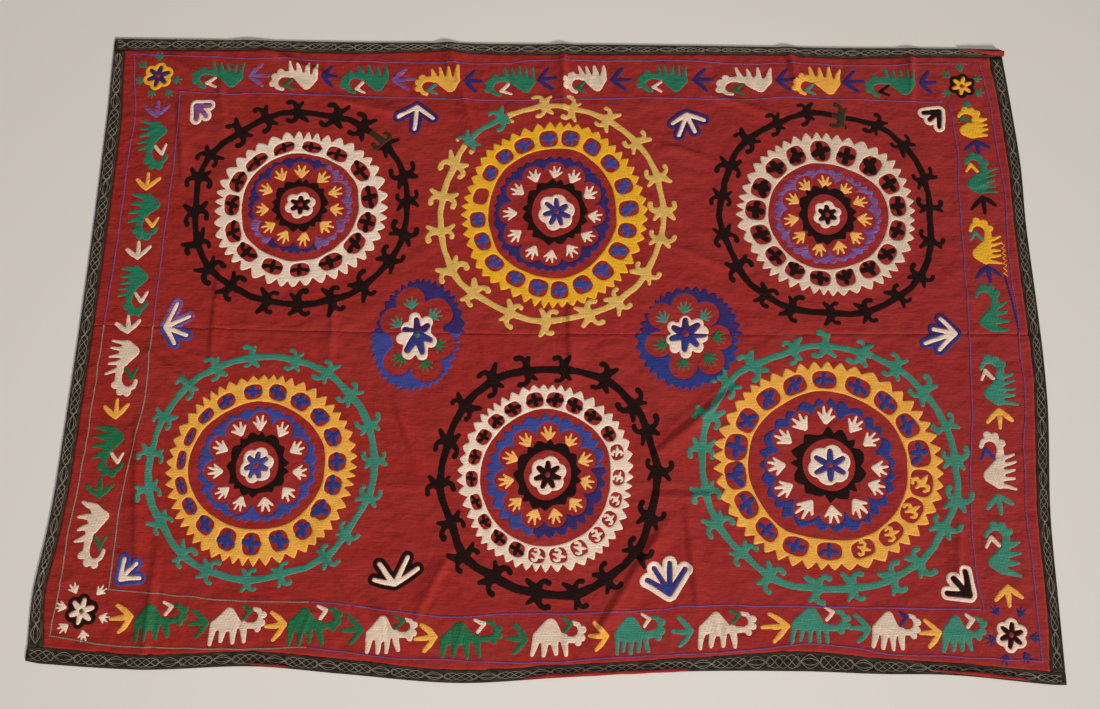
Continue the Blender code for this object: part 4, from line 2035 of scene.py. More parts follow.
@dataclass(frozen=True)
class Bud:
    """A bud between the wheels: fingers that spread from a point, with a lobed outline."""

    x: float
    y: float
    thread: Thread
    fingers: Tuple[Tuple[float, float], ...]     # direction in degrees, and length
    outline: Optional[Thread] = None
    outline_below: Optional[Thread] = None       # where the outline changes at the seam
    half: float = 4.0
    border: float = 6.6

    def stitchery(self, seed: int) -> Stitchery:
        """Sews the bud.

        Args:
            seed: of its irregularities.

        Returns:
            Its stitches.
        """
        far = max(length for _, length in self.fingers) + self.border + 14
        sewing = Stitchery(Reach.around(self.x, self.y, far), Wander(seed, fine=1.0))
        strokes = fan(self.x, self.y, 0.0, (self.half, self.half * 0.8), self.fingers)
        edge = [stroke.widened(self.border) for stroke in strokes]
        if self.outline is not None and self.outline_below is not None:
            sewing.lay(self.outline, edge, within=[SeamSide(True)])
            sewing.lay(self.outline_below, edge, within=[SeamSide(False)])
        elif self.outline is not None:
            sewing.lay(self.outline, edge)
        sewing.lay(self.thread, strokes)
        return sewing


BUDS = [
    Bud(-608, 386, PURPLE, ((2, 22), (-45, 24), (-90, 24)), WHITE, half=4.6),
    Bud(-237, 390, WHITE, ((213, 36), (268, 40), (325, 34)), INDIGO),
    Bud(213, 384, WHITE, ((216, 30), (251, 40), (292, 34), (340, 30)), INDIGO),
    Bud(630, 395, BLACK, ((186, 26), (221, 22), (268, 26)), WHITE, half=4.4),
    Bud(-617, 4, WHITE, ((70, 40), (27, 40), (-20, 38), (-57, 32)), PURPLE,
        BRIGHT_BLUE),
    Bud(629, 18, WHITE, ((133, 32), (171, 34), (200, 50), (226, 38)), INDIGO,
        BLUE),
    Bud(-640, -385, WHITE, ((85, 30), (45, 33), (5, 30)), BRIGHT_BLUE),
    Bud(-228, -382, WHITE, ((170, 32), (132, 38), (66, 42), (34, 40)), BLACK),
    Bud(180, -386, BLUE, ((152, 38), (124, 42), (90, 44), (58, 42)), WHITE,
        border=8.0),
    Bud(620, -378, BLACK, ((176, 32), (135, 32), (96, 34)), WHITE, half=4.6),
]


@dataclass(frozen=True)
class CornerFlower:
    """A flower in a corner of the border, with small sprigs round it."""

    x: float
    y: float
    petal_thread: Thread
    star_thread: Thread
    sprig_thread: Thread
    sprigs: Tuple[Point, ...]
    radius: float = 21.0
    dot_thread: Thread = RED
    star_half: float = 3.6
    sprig_size: float = 0.8
    foot: float = 5.0            # from a sprig's middle to its foot, before its size
    reach: float = 56.0

    def stitchery(self, seed: int) -> Stitchery:
        """Sews the flower.

        Args:
            seed: of its irregularities.

        Returns:
            Its stitches.
        """
        sewing = Stitchery(Reach.around(self.x, self.y, self.reach), Wander(seed, fine=1.2))
        for x, y in self.sprigs:
            aim = math.degrees(math.atan2(y - self.y, x - self.x))
            foot = self.foot * self.sprig_size
            foot_x = x - foot * math.cos(math.radians(aim))
            foot_y = y - foot * math.sin(math.radians(aim))
            sewing.lay(self.sprig_thread, sprig(foot_x, foot_y, aim, self.sprig_size))
        sewing.lay(self.petal_thread, [Flower(self.x, self.y, self.radius, 5.0, 6, 0.4)])
        sewing.lay(self.star_thread, petals(self.x, self.y, 80, 6, self.radius * 0.9,
                                            self.star_half))
        sewing.lay(self.dot_thread, [Oval(self.x, self.y, 3.2, 3.2)])
        return sewing


CORNERS = [
    CornerFlower(-680, 440, YELLOW, INDIGO, SEA_GREEN,
                 ((-682, 475), (-707, 460), (-708, 432), (-687, 410), (-660, 410), (-650, 434))),
    CornerFlower(672, 443, BLACK, YELLOW, SEA_GREEN,
                 ((648, 462), (670, 475), (695, 455), (697, 432), (648, 430), (677, 410)),
                 radius=18.0),
    CornerFlower(-692, -432, BLACK, WHITE, WHITE,
                 ((-707, -402), (-722, -427), (-715, -455), (-685, -465), (-660, -440),
                  (-668, -403)), dot_thread=GREEN, star_half=4.4),
    CornerFlower(677, -433, WHITE, BLACK, INDIGO,
                 ((658, -400), (693, -402), (709, -435), (697, -462), (667, -465), (648, -440)),
                 radius=20.0),
]


class Side(Enum):
    """A side of the border, with the turn of its motifs in degrees."""

    TOP = 0.0
    LEFT = 90.0
    BOTTOM = 180.0
    RIGHT = -90.0

    @property
    def along_x(self) -> bool:
        """Whether the side runs along X."""
        return self in (Side.TOP, Side.BOTTOM)


class Animal(NamedTuple):
    """A small animal of the border: where it begins and ends, its thread and its inset's."""

    start: float
    end: float
    thread: Thread
    inset: Optional[Thread]


class Leaf(NamedTuple):
    """A three-leaved sprig of the border: where it begins and ends, and its thread."""

    start: float
    end: float
    thread: Thread


@dataclass(frozen=True)
class AnimalForm:
    """An animal in its own plan: it faces left and its comb points out of the cloth, in mm."""

    body: Tuple[Tuple[Tuple[Point, ...], Tuple[float, ...]], ...]
    roots: Tuple[Point, Point]                   # of the comb's first and last fingers
    tips: Tuple[Point, Point]
    neck: Tuple[Point, ...]
    neck_halves: Tuple[float, float]             # at its root and its end
    crest: Tuple[Point, ...]                     # middles of the lobes along the neck
    lobe: float
    inset: Tuple[Point, Point, Point]
    tip_half: float = 2.3
    inset_halves: Tuple[float, float, float] = (3.0, 3.4, 2.4)
    length: float = 76.0

    def strokes(self, spot: Placement, fingers: int, rng: np.random.Generator) -> List[Stroke]:
        """The strokes of one animal.

        Args:
            spot: where it lies.
            fingers: how many fingers its comb has.
            rng: the source of its small irregularities.

        Returns:
            Its strokes, without the inset.
        """
        strokes = [spot.stroke(*stroke) for stroke in self.body]
        half = 0.5 * (self.roots[1][0] - self.roots[0][0]) / (fingers - 1)
        for share in np.linspace(0.0, 1.0, fingers):
            root, tip = ([ends[0][axis] * (1 - share) + ends[1][axis] * share for axis in (0, 1)]
                         for ends in (self.roots, self.tips))
            middle = (0.5 * (root[0] + tip[0]), 0.5 * (root[1] + tip[1]))
            tip = (tip[0] + rng.uniform(-1.5, 1.5), tip[1] + rng.uniform(-3.5, 1.5))
            strokes.append(spot.stroke((root, middle, tip), (half, 0.74 * half, self.tip_half)))
        start, end = self.neck_halves
        strokes.append(spot.stroke(self.neck, np.linspace(start, end, len(self.neck))))
        for x, y in self.crest:
            over = (x + rng.uniform(-1, 1), y + rng.uniform(-1, 1) + 0.1)
            strokes.append(spot.stroke(((x, y), over), (self.lobe, self.lobe)))
        return strokes


FULL_FORM = AnimalForm(
    body=((((19, -13), (4, 0)), (9.5, 8)), (((19, -13), (16, 1)), (9.5, 8.5)),
          (((19, -13), (29, -1)), (9.5, 8))),
    roots=((-5, 3), (31, 0)), tips=((-12, 25), (34, 24)),
    neck=((3, 4), (-7.5, 4), (-14, 5.5), (-22, 5), (-28.5, 1), (-32.5, -5.5), (-32.5, -13),
          (-28, -20), (-21, -23)),
    neck_halves=(6.5, 3.6),
    crest=((-27, 8.5), (-35.5, -0.5), (-37, -12)),
    lobe=6.2, inset=((-6, -5), (-18, -16), (-4, -23)))
LONG_FORM = AnimalForm(
    body=((((12, -17), (13, -2)), (8.5, 13)), (((12, -17), (27, 0)), (8.5, 9)),
          (((12, -17), (-1, 0)), (8.5, 7)), (((-3, 0), (30, 1)), (6, 7))),
    roots=((-9, 0), (31, 0)), tips=((-13, 25), (35, 26)),
    neck=((-2, 2), (-14, 1.5), (-26, 1), (-33, -4), (-35, -12), (-31, -20), (-23, -22)),
    neck_halves=(5.2, 3.2),
    crest=((-31, 5), (-37.5, -3), (-38.5, -14)),
    lobe=5.0, inset=((-10, -9), (-19, -20), (-7, -27)), tip_half=3.3)

# The sprig in its own plan: it points left
LEAF_LENGTH = 38.0
LEAF_REACH = 34.0
ANIMAL_REACH = 58.0
LEAF_STROKES = (
    (((-17, 0), (-7, 11), (2, 20)), (2.8, 4.4, 3.1)),
    (((-17, 0), (-5, -9), (7, -18)), (2.8, 4.4, 3.1)),
    (((-17, 0), (-1, 1), (16, 1.5)), (2.8, 4.4, 3.0)),
)


TOP_MOTIFS = [
    Animal(-617, -532, SEA_GREEN, CREAM), Leaf(-527, -490, PURPLE),
    Animal(-484, -407, CREAM, GREEN), Leaf(-402, -375, INDIGO),
    Animal(-365, -287, SEA_GREEN, CREAM), Leaf(-282, -242, PURPLE),
    Animal(-240, -165, ORANGE, TEAL), Leaf(-162, -130, INDIGO),
    Animal(-120, -37, SEA_GREEN, CREAM), Leaf(-37, -2, INDIGO),
    Animal(10, 80, CREAM, GREEN), Leaf(85, 122, INDIGO),
    Animal(135, 217, SEA_GREEN, CREAM), Leaf(222, 260, INDIGO),
    Animal(265, 360, CREAM, GREEN), Leaf(362, 397, INDIGO),
    Animal(392, 472, ORANGE, TEAL), Leaf(475, 512, INDIGO),
    Animal(515, 597, SEA_GREEN, BLACK), Leaf(600, 632, INDIGO),
]
BOTTOM_MOTIFS = [
    Leaf(-652, -612, ORANGE), Animal(-612, -537, GREEN, CREAM),
    Leaf(-532, -500, GREEN), Animal(-499, -420, CREAM, GREEN),
    Leaf(-420, -385, ORANGE), Animal(-385, -307, GREEN, CREAM),
    Leaf(-305, -270, GREEN), Animal(-267, -195, CREAM, GREEN),
    Leaf(-195, -161, ORANGE), Animal(-159, -70, GREEN, CREAM),
    Leaf(-60, -27, GREEN), Animal(-22, 52, CREAM, GREEN),
    Leaf(59, 92, ORANGE), Animal(97, 170, TEAL, CREAM),
    Leaf(180, 215, TEAL), Animal(220, 302, CREAM, GREEN),
    Leaf(312, 355, ORANGE), Animal(357, 440, TEAL, CREAM),
    Leaf(440, 475, TEAL), Animal(475, 542, CREAM, INDIGO),
    Leaf(542, 575, ORANGE), Animal(577, 637, TEAL, CREAM),
]
LEFT_MOTIFS = [
    Leaf(365, 395, PURPLE), Animal(275, 360, SEA_GREEN, CREAM),
    Leaf(234, 266, ORANGE), Animal(152, 230, SEA_GREEN, ORANGE),
    Leaf(114, 146, CREAM), Animal(25, 105, SEA_GREEN, CREAM),
    Leaf(-8, 24, CREAM), Animal(-105, -15, CREAM, GREEN),
    Leaf(-144, -112, ORANGE), Animal(-230, -155, GREEN, CREAM),
    Leaf(-266, -234, GREEN), Animal(-365, -270, CREAM, GREEN),
]
RIGHT_MOTIFS = [
    Animal(350, 400, YELLOW, GREEN), Leaf(322, 346, INDIGO),
    Animal(252, 318, SEA_GREEN, YELLOW), Leaf(216, 248, BLACK),
    Animal(130, 205, YELLOW, TEAL), Leaf(100, 130, INDIGO),
    Animal(20, 95, SEA_GREEN, None), Animal(-95, -20, TEAL, CREAM),
    Leaf(-131, -99, ORANGE), Animal(-225, -140, CREAM, BLUE),
    Leaf(-261, -229, TEAL), Animal(-350, -275, TEAL, CREAM),
    Leaf(-394, -362, ORANGE),
]

# The chain stitched lines that bound the border
OUTER_TOP = [LineStation(*row) for row in (    # along, across
    (-727, 480), (-650, 478), (-330, 472), (-100, 472), (-30, 480), (100, 480), (200, 482),
    (300, 478), (400, 480), (515, 477), (620, 482), (690, 483),
)]
INNER_TOP = [LineStation(*row) for row in (    # along, across
    (-640, 412), (-560, 408), (-500, 411), (-410, 409), (-250, 406), (-150, 404), (-60, 405),
    (60, 410), (180, 413), (300, 411), (380, 418), (450, 415), (640, 413),
)]
OUTER_BOTTOM = [LineStation(*row) for row in (    # along, across
    (-735, -468), (-640, -479), (-430, -479), (-360, -475), (-330, -477), (-230, -486),
    (-150, -487), (-60, -489), (20, -486), (100, -478), (180, -473), (300, -463), (370, -453),
    (440, -455), (500, -463), (590, -465), (718, -468),
)]
INNER_BOTTOM = [LineStation(*row) for row in (    # along, across
    (-655, -399), (-540, -407), (-480, -411), (-350, -411), (-300, -413), (-230, -420),
    (-150, -427), (-60, -421), (60, -417), (100, -414), (170, -409), (200, -404), (280, -401),
    (640, -398),
)]
OUTER_LEFT = [LineStation(*row) for row in (    # along, across
    (-465, -735), (-400, -730), (-330, -729), (-260, -723), (-200, -720), (-100, -717), (0, -716),
    (100, -713), (200, -712), (300, -713), (370, -711), (430, -719), (480, -727),
)]
INNER_LEFT = [LineStation(*row) for row in (    # along, across
    (-399, -655), (-280, -655), (-230, -650), (-150, -640), (-100, -636), (10, -638), (350, -636),
    (412, -640),
)]
OUTER_RIGHT = [LineStation(*row) for row in (    # along, across
    (-468, 718), (-400, 717), (-300, 716), (-260, 714), (-200, 718), (-150, 720), (-100, 728),
    (-50, 729), (0, 727), (50, 728), (100, 725), (150, 723), (200, 725), (250, 727), (300, 723),
    (350, 719), (400, 716), (483, 704),
)]
INNER_RIGHT = [LineStation(*row) for row in (    # along, across
    (-398, 640), (-330, 632), (-200, 635), (-160, 640), (-100, 646), (0, 650), (250, 653),
    (330, 655), (413, 648),
)]


@dataclass(frozen=True)
class BorderSide:
    """One side of the border: its animals, its sprigs and the two lines that bound it."""

    name: str
    side: Side
    motifs: Sequence[Any]
    inner: Sequence[LineStation]
    outer: Sequence[LineStation]
    seed: int
    form: AnimalForm = FULL_FORM
    five_fingered: float = 0.35      # share of the animals

    def middle(self, along: float) -> float:
        """Where the border's middle lies across the side, at a place along it.

        Args:
            along: the place.

        Returns:
            The middle, mm.
        """
        inner = smooth_table(self.inner, "along", "across", np.array([along]))[0]
        outer = smooth_table(self.outer, "along", "across", np.array([along]))[0]
        return 0.5 * float(inner + outer)

    def spot(self, motif: Any, length: float, rng: np.random.Generator) -> Placement:
        """Where a motif lies, sized to fill its place along the side.

        Args:
            motif: its row of the table.
            length: its own length.
            rng: the source of its turn.

        Returns:
            The placement.
        """
        along = 0.5 * (motif.start + motif.end)
        across = self.middle(along)
        x, y = (along, across) if self.side.along_x else (across, along)
        turn = math.radians(self.side.value + rng.uniform(-4, 4))
        return Placement(x, y, turn, stretch=(motif.end - motif.start) / length)

    def stitchery(self, motif: Any, rng: np.random.Generator) -> Stitchery:
        """Sews one motif.

        Args:
            motif: its row of the table.
            rng: the source of its irregularities.

        Returns:
            Its stitches.
        """
        animal = isinstance(motif, Animal)
        spot = self.spot(motif, self.form.length if animal else LEAF_LENGTH, rng)
        window = Reach.around(spot.x, spot.y, ANIMAL_REACH if animal else LEAF_REACH)
        sewing = Stitchery(window, Wander(int(rng.integers(1000)), fine=1.3, broad=1.4,
                                          broad_over=34.0))
        if animal:
            fingers = 5 if rng.uniform() < self.five_fingered else 4
            sewing.lay(motif.thread, self.form.strokes(spot, fingers, rng))
            if motif.inset is not None:
                sewing.lay(motif.inset, [spot.stroke(self.form.inset, self.form.inset_halves)])
        else:
            sewing.lay(motif.thread, [spot.stroke(*stroke) for stroke in LEAF_STROKES])
        return sewing

    def build(self) -> Pieces:
        """Sews the side's motifs and makes a piece of each thread."""
        rng = np.random.default_rng(self.seed)
        return sewn(self.name, [self.stitchery(motif, rng) for motif in self.motifs])


BORDER = [
    BorderSide("border_top", Side.TOP, TOP_MOTIFS, INNER_TOP, OUTER_TOP, 301),
    BorderSide("border_bottom", Side.BOTTOM, BOTTOM_MOTIFS, INNER_BOTTOM, OUTER_BOTTOM, 302,
               LONG_FORM),
    BorderSide("border_left", Side.LEFT, LEFT_MOTIFS, INNER_LEFT, OUTER_LEFT, 303),
    BorderSide("border_right", Side.RIGHT, RIGHT_MOTIFS, INNER_RIGHT, OUTER_RIGHT, 304),
]


@dataclass(frozen=True)
class ChainStitch:
    """A line of chain stitch: small raised links, each a hollow leaf."""

    pitch: float = 3.4           # from link to link, mm
    link_length: float = 5.6
    half: float = 1.3
    height: float = 0.7
    corners: int = 8
    inner: float = 0.62          # the raised ring's size against the link's
    sink: float = 0.2            # how far the link's rim lies under the face

    def line(self, path: Array, grow: float = 1.0) -> Patch:
        """The links along a path.

        Args:
            path: the path's points, in mm.
            grow: the links' size, against the plain one.

        Returns:
            Their mesh: each has an outer ring on the cloth, a raised ring and a hollow middle.
        """
        steps = np.hypot(*np.diff(path, axis=0).T)
        so_far = np.concatenate([[0.0], np.cumsum(steps)])
        places = np.arange(0.0, so_far[-1], self.pitch * grow)
        xs = np.interp(places, so_far, path[:, 0])[:, None]
        ys = np.interp(places, so_far, path[:, 1])[:, None]
        turns = np.arctan2(np.gradient(ys[:, 0]), np.gradient(xs[:, 0]))[:, None]
        count = self.corners
        around = np.arange(count) * 2 * math.pi / count
        ring = np.array((1.0,) * count + (self.inner,) * count + (0.0,))
        rise = np.array((-self.sink,) * count + (self.height,) * count + (0.5 * self.height,))
        around = np.concatenate([around, around, [0.0]])
        along = 0.5 * self.link_length * grow * ring * np.cos(around)
        aside = self.half * grow * ring * np.sin(around)
        x = xs + along * np.cos(turns) - aside * np.sin(turns)
        y = ys + along * np.sin(turns) + aside * np.cos(turns)
        points = np.stack([x, y, LIE.face(x, y) + rise], axis=2).reshape(-1, 3)
        first = np.arange(count)
        following = np.roll(first, -1)
        wall = np.stack([first, following, following + count, first + count], axis=1)
        top = np.stack([first + count, following + count, np.full(count, 2 * count)], axis=1)
        links = (np.arange(len(places)) * (2 * count + 1))[:, None, None]
        return Patch(points, [(wall + links).reshape(-1, 4), (top + links).reshape(-1, 3)])


@dataclass(frozen=True)
class BorderLines:
    """The chain stitched lines on both sides of the border."""

    stitch: ChainStitch = ChainStitch()
    grey_left_below: float = 8.0     # the left lines turn grey under this Y
    grey_bottom_before: float = -350.0
    step: float = 5.0                # from point to point along a line
    wobble: float = 0.9
    # The yellow zigzag down the right side, and the heavy line that goes on from it
    zigzag_start: Point = (713.0, 168.0)
    zigzag_step: Point = (5.5, -4.2)
    zigzag_turns: int = 14
    zigzag_size: float = 0.6
    heavy_path: Tuple[Point, ...] = ((715.0, 110.0), (722.0, 70.0), (729.0, 25.0))
    heavy_size: float = 1.8

    def thread_of(self, side: Side, along: float) -> Thread:
        """The thread of a line at a place along a side.

        Args:
            side: the side.
            along: the place, mm.

        Returns:
            The thread.
        """
        if side is Side.LEFT and along < self.grey_left_below:
            return GREY
        if side is Side.BOTTOM and along < self.grey_bottom_before:
            return GREY
        return MAUVE

    def build(self) -> Pieces:
        """Sews the lines, one piece for each thread.

        Returns:
            The pieces.
        """
        wobble = SmoothNoise(26.0, 77)
        gathered: Dict[Thread, List[Patch]] = {}
        for border in BORDER:
            for stations in (border.inner, border.outer):
                along = np.arange(stations[0].along, stations[-1].along, self.step)
                across = smooth_table(stations, "along", "across", along)
                across = across + self.wobble * wobble(along, across)
                columns = (along, across) if border.side.along_x else (across, along)
                path = np.stack(columns, axis=1)
                names = np.array([self.thread_of(border.side, place).name for place in along])
                for name in np.unique(names):
                    line = self.stitch.line(path[names == name])
                    gathered.setdefault(Thread[name], []).append(line)
        zigzag = np.array([(self.zigzag_start[0] + self.zigzag_step[0] * (index % 2),
                            self.zigzag_start[1] + self.zigzag_step[1] * index)
                           for index in range(self.zigzag_turns)])
        heavy = np.array(self.heavy_path)
        for thread, path, size in ((YELLOW, zigzag, self.zigzag_size),
                                   (INDIGO, heavy, self.heavy_size)):
            gathered.setdefault(thread, []).append(self.stitch.line(path, size))
        pieces = []
        for thread, patches in gathered.items():
            label = thread.value.label
            pieces.append(make_piece(f"border_lines_{label}", joined(patches),
                                     material_of(thread.value)))
        return pieces


Curve = Callable[[Array], Tuple[Array, Array]]


def long_side(rows: Sequence[EdgeStation], which: str) -> Curve:
    """A long edge of the panels as a curve over 0 to 1, from left to right.

    Args:
        rows: the edge's table.
        which: the column that is followed.

    Returns:
        The curve.
    """
    def curve(share: Array) -> Tuple[Array, Array]:
        """The points at some shares of the way."""
        x = rows[1].along + (rows[-2].along - rows[1].along) * share
        return x, smooth_table(rows, "along", which, x)
    return curve


def short_side(rows: Sequence[EdgeStation], from_y: float, to_y: float) -> Curve:
    """A short edge of the panels as a curve over 0 to 1, upwards from one Y to another.

    Args:
        rows: the edge's table.
        from_y: where it starts, mm.
        to_y: where it ends.

    Returns:
        The curve.
    """
    def curve(share: Array) -> Tuple[Array, Array]:
        """The points at some shares of the way."""
        y = from_y + (to_y - from_y) * share
        return smooth_table(rows, "along", "inner", y), y
    return curve


def seam_side(left_x: float, right_x: float, offset: float) -> Curve:
    """The seam as a curve over 0 to 1 from the left edge, moved by an offset in Y.

    Args:
        left_x: where it starts, mm.
        right_x: where it ends.
        offset: how far it is moved.

    Returns:
        The curve.
    """
    def curve(share: Array) -> Tuple[Array, Array]:
        """The points at some shares of the way."""
        x = left_x + (right_x - left_x) * share
        return x, seam_y(x) + offset
    return curve


def blended(bottom: Curve, top: Curve, left: Curve, right: Curve, u: Array, v: Array
            ) -> Tuple[Array, Array]:
    """A grid over the area that four meeting edge curves close in.

    Args:
        bottom: the near edge.
        top: the far edge.
        left: the left edge.
        right: the right edge.
        u: shares along the near and far edges.
        v: shares along the left and right edges.

    Returns:
        X and Y of the grid, row by row from the near edge.
    """
    across = u[None, :]
    upward = v[:, None]
    result = []
    for axis in (0, 1):
        near = bottom(u)[axis][None, :]
        far = top(u)[axis][None, :]
        first = left(v)[axis][:, None]
        last = right(v)[axis][:, None]
        sides = near * (1 - upward) + far * upward + first * (1 - across) + last * across
        flat_near = near[0, 0] * (1 - across) + near[0, -1] * across
        flat_far = far[0, 0] * (1 - across) + far[0, -1] * across
        result.append(sides - flat_near * (1 - upward) - flat_far * upward)
    return result[0], result[1]


@dataclass(frozen=True)
class ClothPanel:
    """One of the two red cotton panels, with its folds, creases and turned-in seam edge."""

    node: str
    upper: bool
    step: float = PANEL_STEP
    breadth: float = 480.0                       # about, mm, which the rows share out
    seam_drop: float = 1.3                       # how far the face rolls down into the seam, mm
    seam_over: float = 2.2
    seam_rows: Tuple[float, ...] = (0.0, 0.0025, 0.006, 0.012)

    def grid(self) -> Tuple[Array, Array]:
        """X and Y of the panel's points, row by row from its near edge.

        Returns:
            X and Y.
        """
        half_gap = 0.5 * CLEARANCE
        left_x = float(smooth_table(LEFT_EDGE, "along", "inner", np.array([SEAM[0].y]))[0])
        right_x = float(smooth_table(RIGHT_EDGE, "along", "inner", np.array([SEAM[-1].y]))[0])
        columns = 2 * int(0.5 * (right_x - left_x) / self.step)
        rows = 2 * int(0.5 * self.breadth / self.step)
        u = np.linspace(0.0, 1.0, columns + 1)
        even = np.linspace(0.0, 1.0, rows + 1)[2:]
        from_seam = np.concatenate([self.seam_rows, even])
        ends = np.array([0.0, 1.0])
        if self.upper:
            near = seam_side(left_x, right_x, half_gap)
            far = long_side(TOP_EDGE, "inner")
            v = from_seam
        else:
            near = long_side(BOTTOM_EDGE, "inner")
            far = seam_side(left_x, right_x, -half_gap)
            v = 1.0 - from_seam[::-1]
        near_y = near(ends)[1]
        far_y = far(ends)[1]
        left = short_side(LEFT_EDGE, float(near_y[0]), float(far_y[0]))
        right = short_side(RIGHT_EDGE, float(near_y[1]), float(far_y[1]))
        return blended(near, far, left, right, u, v)

    def build(self) -> bpy.types.Object:
        """Makes the panel in place of its solid.

        Returns:
            The panel.
        """
        x, y = self.grid()
        low = LIE.underside(x, y)
        high = LIE.face(x, y)
        from_seam = np.abs(y - seam_y(x))
        high = high - self.seam_drop * np.exp(-(from_seam / self.seam_over) ** 2)
        high = np.maximum(high, low + THINNEST)
        panel = make_piece(self.node + "_cotton", slab(x, y, low, high, 2), material_of(COTTON))
        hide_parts(self.node)
        return panel


@dataclass(frozen=True)
class TrimBand:
    """A length of the woven band: black weave with cords at its margins and a net between."""

    node: str
    rows: Sequence[EdgeStation]
    outward: int                 # +1 if the band lies at the higher side of its edge
    along_x: bool
    phase: float                 # where its pattern begins, mm
    repeat: float = 78.0
    eye: float = 28.0            # length of the plain almond between two stretches of net
    net_pitch: float = 50.0
    margin_cords: Tuple[float, ...] = (0.9, 2.2, 3.4)
    cord_half: float = 0.45
    net_half: float = 0.36
    rounded: float = 0.5         # how far the band's margins drop
    # A cord's section: shares of its half width aside and up
    section: Tuple[Point, ...] = ((1.0, -0.1), (0.55, 0.85), (-0.55, 0.85), (-1.0, -0.1))
    cord_step: float = 4.5       # from point to point along a cord
    net_step: float = 1.7
    rows_across: int = 6
    cord_inset: float = 1.0      # from the band's ends to the cords'
    net_inset: float = 5.0
    runs_in: float = 4.0         # over which the net closes up at an eye
    bare: float = 0.7            # between the net and the margin's cords

    def place(self, along: Array, across: Array) -> Tuple[Array, Array]:
        """X and Y at places along the band and shares across it, from its panel side.

        Args:
            along: places along it, mm.
            across: shares across it.

        Returns:
            X and Y.
        """
        inner = smooth_table(self.rows, "along", "inner", along) + self.outward * CLEARANCE
        outer = smooth_table(self.rows, "along", "outer", along)
        level = inner + (outer - inner) * across
        return (along, level) if self.along_x else (level, along)

    def breadth(self, along: Array) -> Array:
        """The band's breadth at places along it.

        Args:
            along: places along it, mm.

        Returns:
            The breadths, mm.
        """
        inner = smooth_table(self.rows, "along", "inner", along)
        outer = smooth_table(self.rows, "along", "outer", along)
        return np.abs(outer - inner) - CLEARANCE

    def face(self, x: Array, y: Array) -> Array:
        """Height of the band's face."""
        return LIE.underside(x, y) + TRIM_THICKNESS

    def weave(self) -> Patch:
        """The band itself.

        Returns:
            Its mesh.
        """
        start = self.rows[0].along
        end = self.rows[-1].along
        along = np.linspace(start, end, int((end - start) / BAND_STEP) + 1)
        across = np.linspace(0.0, 1.0, self.rows_across)
        grid_along, grid_across = np.meshgrid(along, across)
        x, y = self.place(grid_along, grid_across)
        high = self.face(x, y)
        high = high - self.rounded * np.abs(2 * grid_across - 1) ** 6
        patch = slab(x, y, LIE.underside(x, y), high)
        mirrored = (self.outward < 0) == self.along_x
        if mirrored:
            return Patch(patch.points, [face[:, ::-1] for face in patch.faces])
        return patch

    def cord(self, along: Array, across: Array, half: float) -> Patch:
        """A half-round cord on the band.

        Args:
            along: places along the band.
            across: shares across it.
            half: half the cord's width, mm.

        Returns:
            Its mesh.
        """
        x, y = self.place(along, across)
        run_x = np.gradient(x)
        run_y = np.gradient(y)
        length = np.hypot(run_x, run_y)
        aside_x = -run_y / length
        aside_y = run_x / length
        base = self.face(x, y) - 0.1
        points = []
        for shift, rise in self.section:
            points.append(np.stack([x + aside_x * half * shift, y + aside_y * half * shift,
                                    base + half * rise], axis=1))
        quads = grid_faces(len(self.section), len(x))
        return Patch(np.concatenate(points), [quads[:, ::-1]])

    def cords(self) -> Patch:
        """The straight cords at both margins.

        Returns:
            Their mesh.
        """
        start = self.rows[0].along + self.cord_inset
        end = self.rows[-1].along - self.cord_inset
        along = np.arange(start, end, self.cord_step)
        breadth = self.breadth(along)
        patches = []
        for inset in self.margin_cords:
            patches.append(self.cord(along, inset / breadth, self.cord_half))
            patches.append(self.cord(along, 1 - inset / breadth, self.cord_half))
        return joined(patches)

    def net(self) -> Patch:
        """The cords that cross in a net and part round almond eyes.

        Returns:
            Its mesh.
        """
        start = self.rows[0].along + self.net_inset
        end = self.rows[-1].along - self.net_inset
        along = np.arange(start, end, self.net_step)
        breadth = self.breadth(along)
        room = 0.5 * breadth - self.margin_cords[-1] - self.bare
        place = (along - start + self.phase) % self.repeat
        in_eye = place < self.eye
        swell = np.sin(math.pi * np.clip(place / self.eye, 0.0, 1.0))
        rest = self.repeat - self.eye
        inside = np.clip((place - self.eye) / self.runs_in, 0.0, 1.0)
        inside = inside * np.clip((self.repeat - place) / self.runs_in, 0.0, 1.0)
        patches = []
        for strand, eye_share in enumerate((1.0, 0.5, -0.5, -1.0)):
            turns = (place - self.eye) / rest * max(round(rest / self.net_pitch), 1) + strand / 4
            zigzag = np.sin(2 * math.pi * turns)
            shift = np.where(in_eye, eye_share * swell, zigzag * inside)
            patches.append(self.cord(along, 0.5 + shift * room / breadth, self.net_half))
        return joined(patches)

    def build(self) -> Pieces:
        """Makes the band and its cords in place of its solid.

        Returns:
            The band, its cords and its net.
        """
        band = make_piece(self.node + "_weave", self.weave(), material_of(BLACK_WEAVE))
        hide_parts(self.node)
        cords = make_piece(self.node + "_cords", self.cords(), material_of(OLIVE_CORD))
        net = make_piece(self.node + "_net", self.net(), material_of(PALE_CORD))
        return [band, cords, net]


BANDS = [
    TrimBand("trim_top", TOP_EDGE, 1, True, 12.0),
    TrimBand("trim_bottom", BOTTOM_EDGE, -1, True, 40.0),
    TrimBand("trim_left", LEFT_EDGE, -1, False, 0.0),
    TrimBand("trim_right", RIGHT_EDGE, 1, False, 55.0),
]


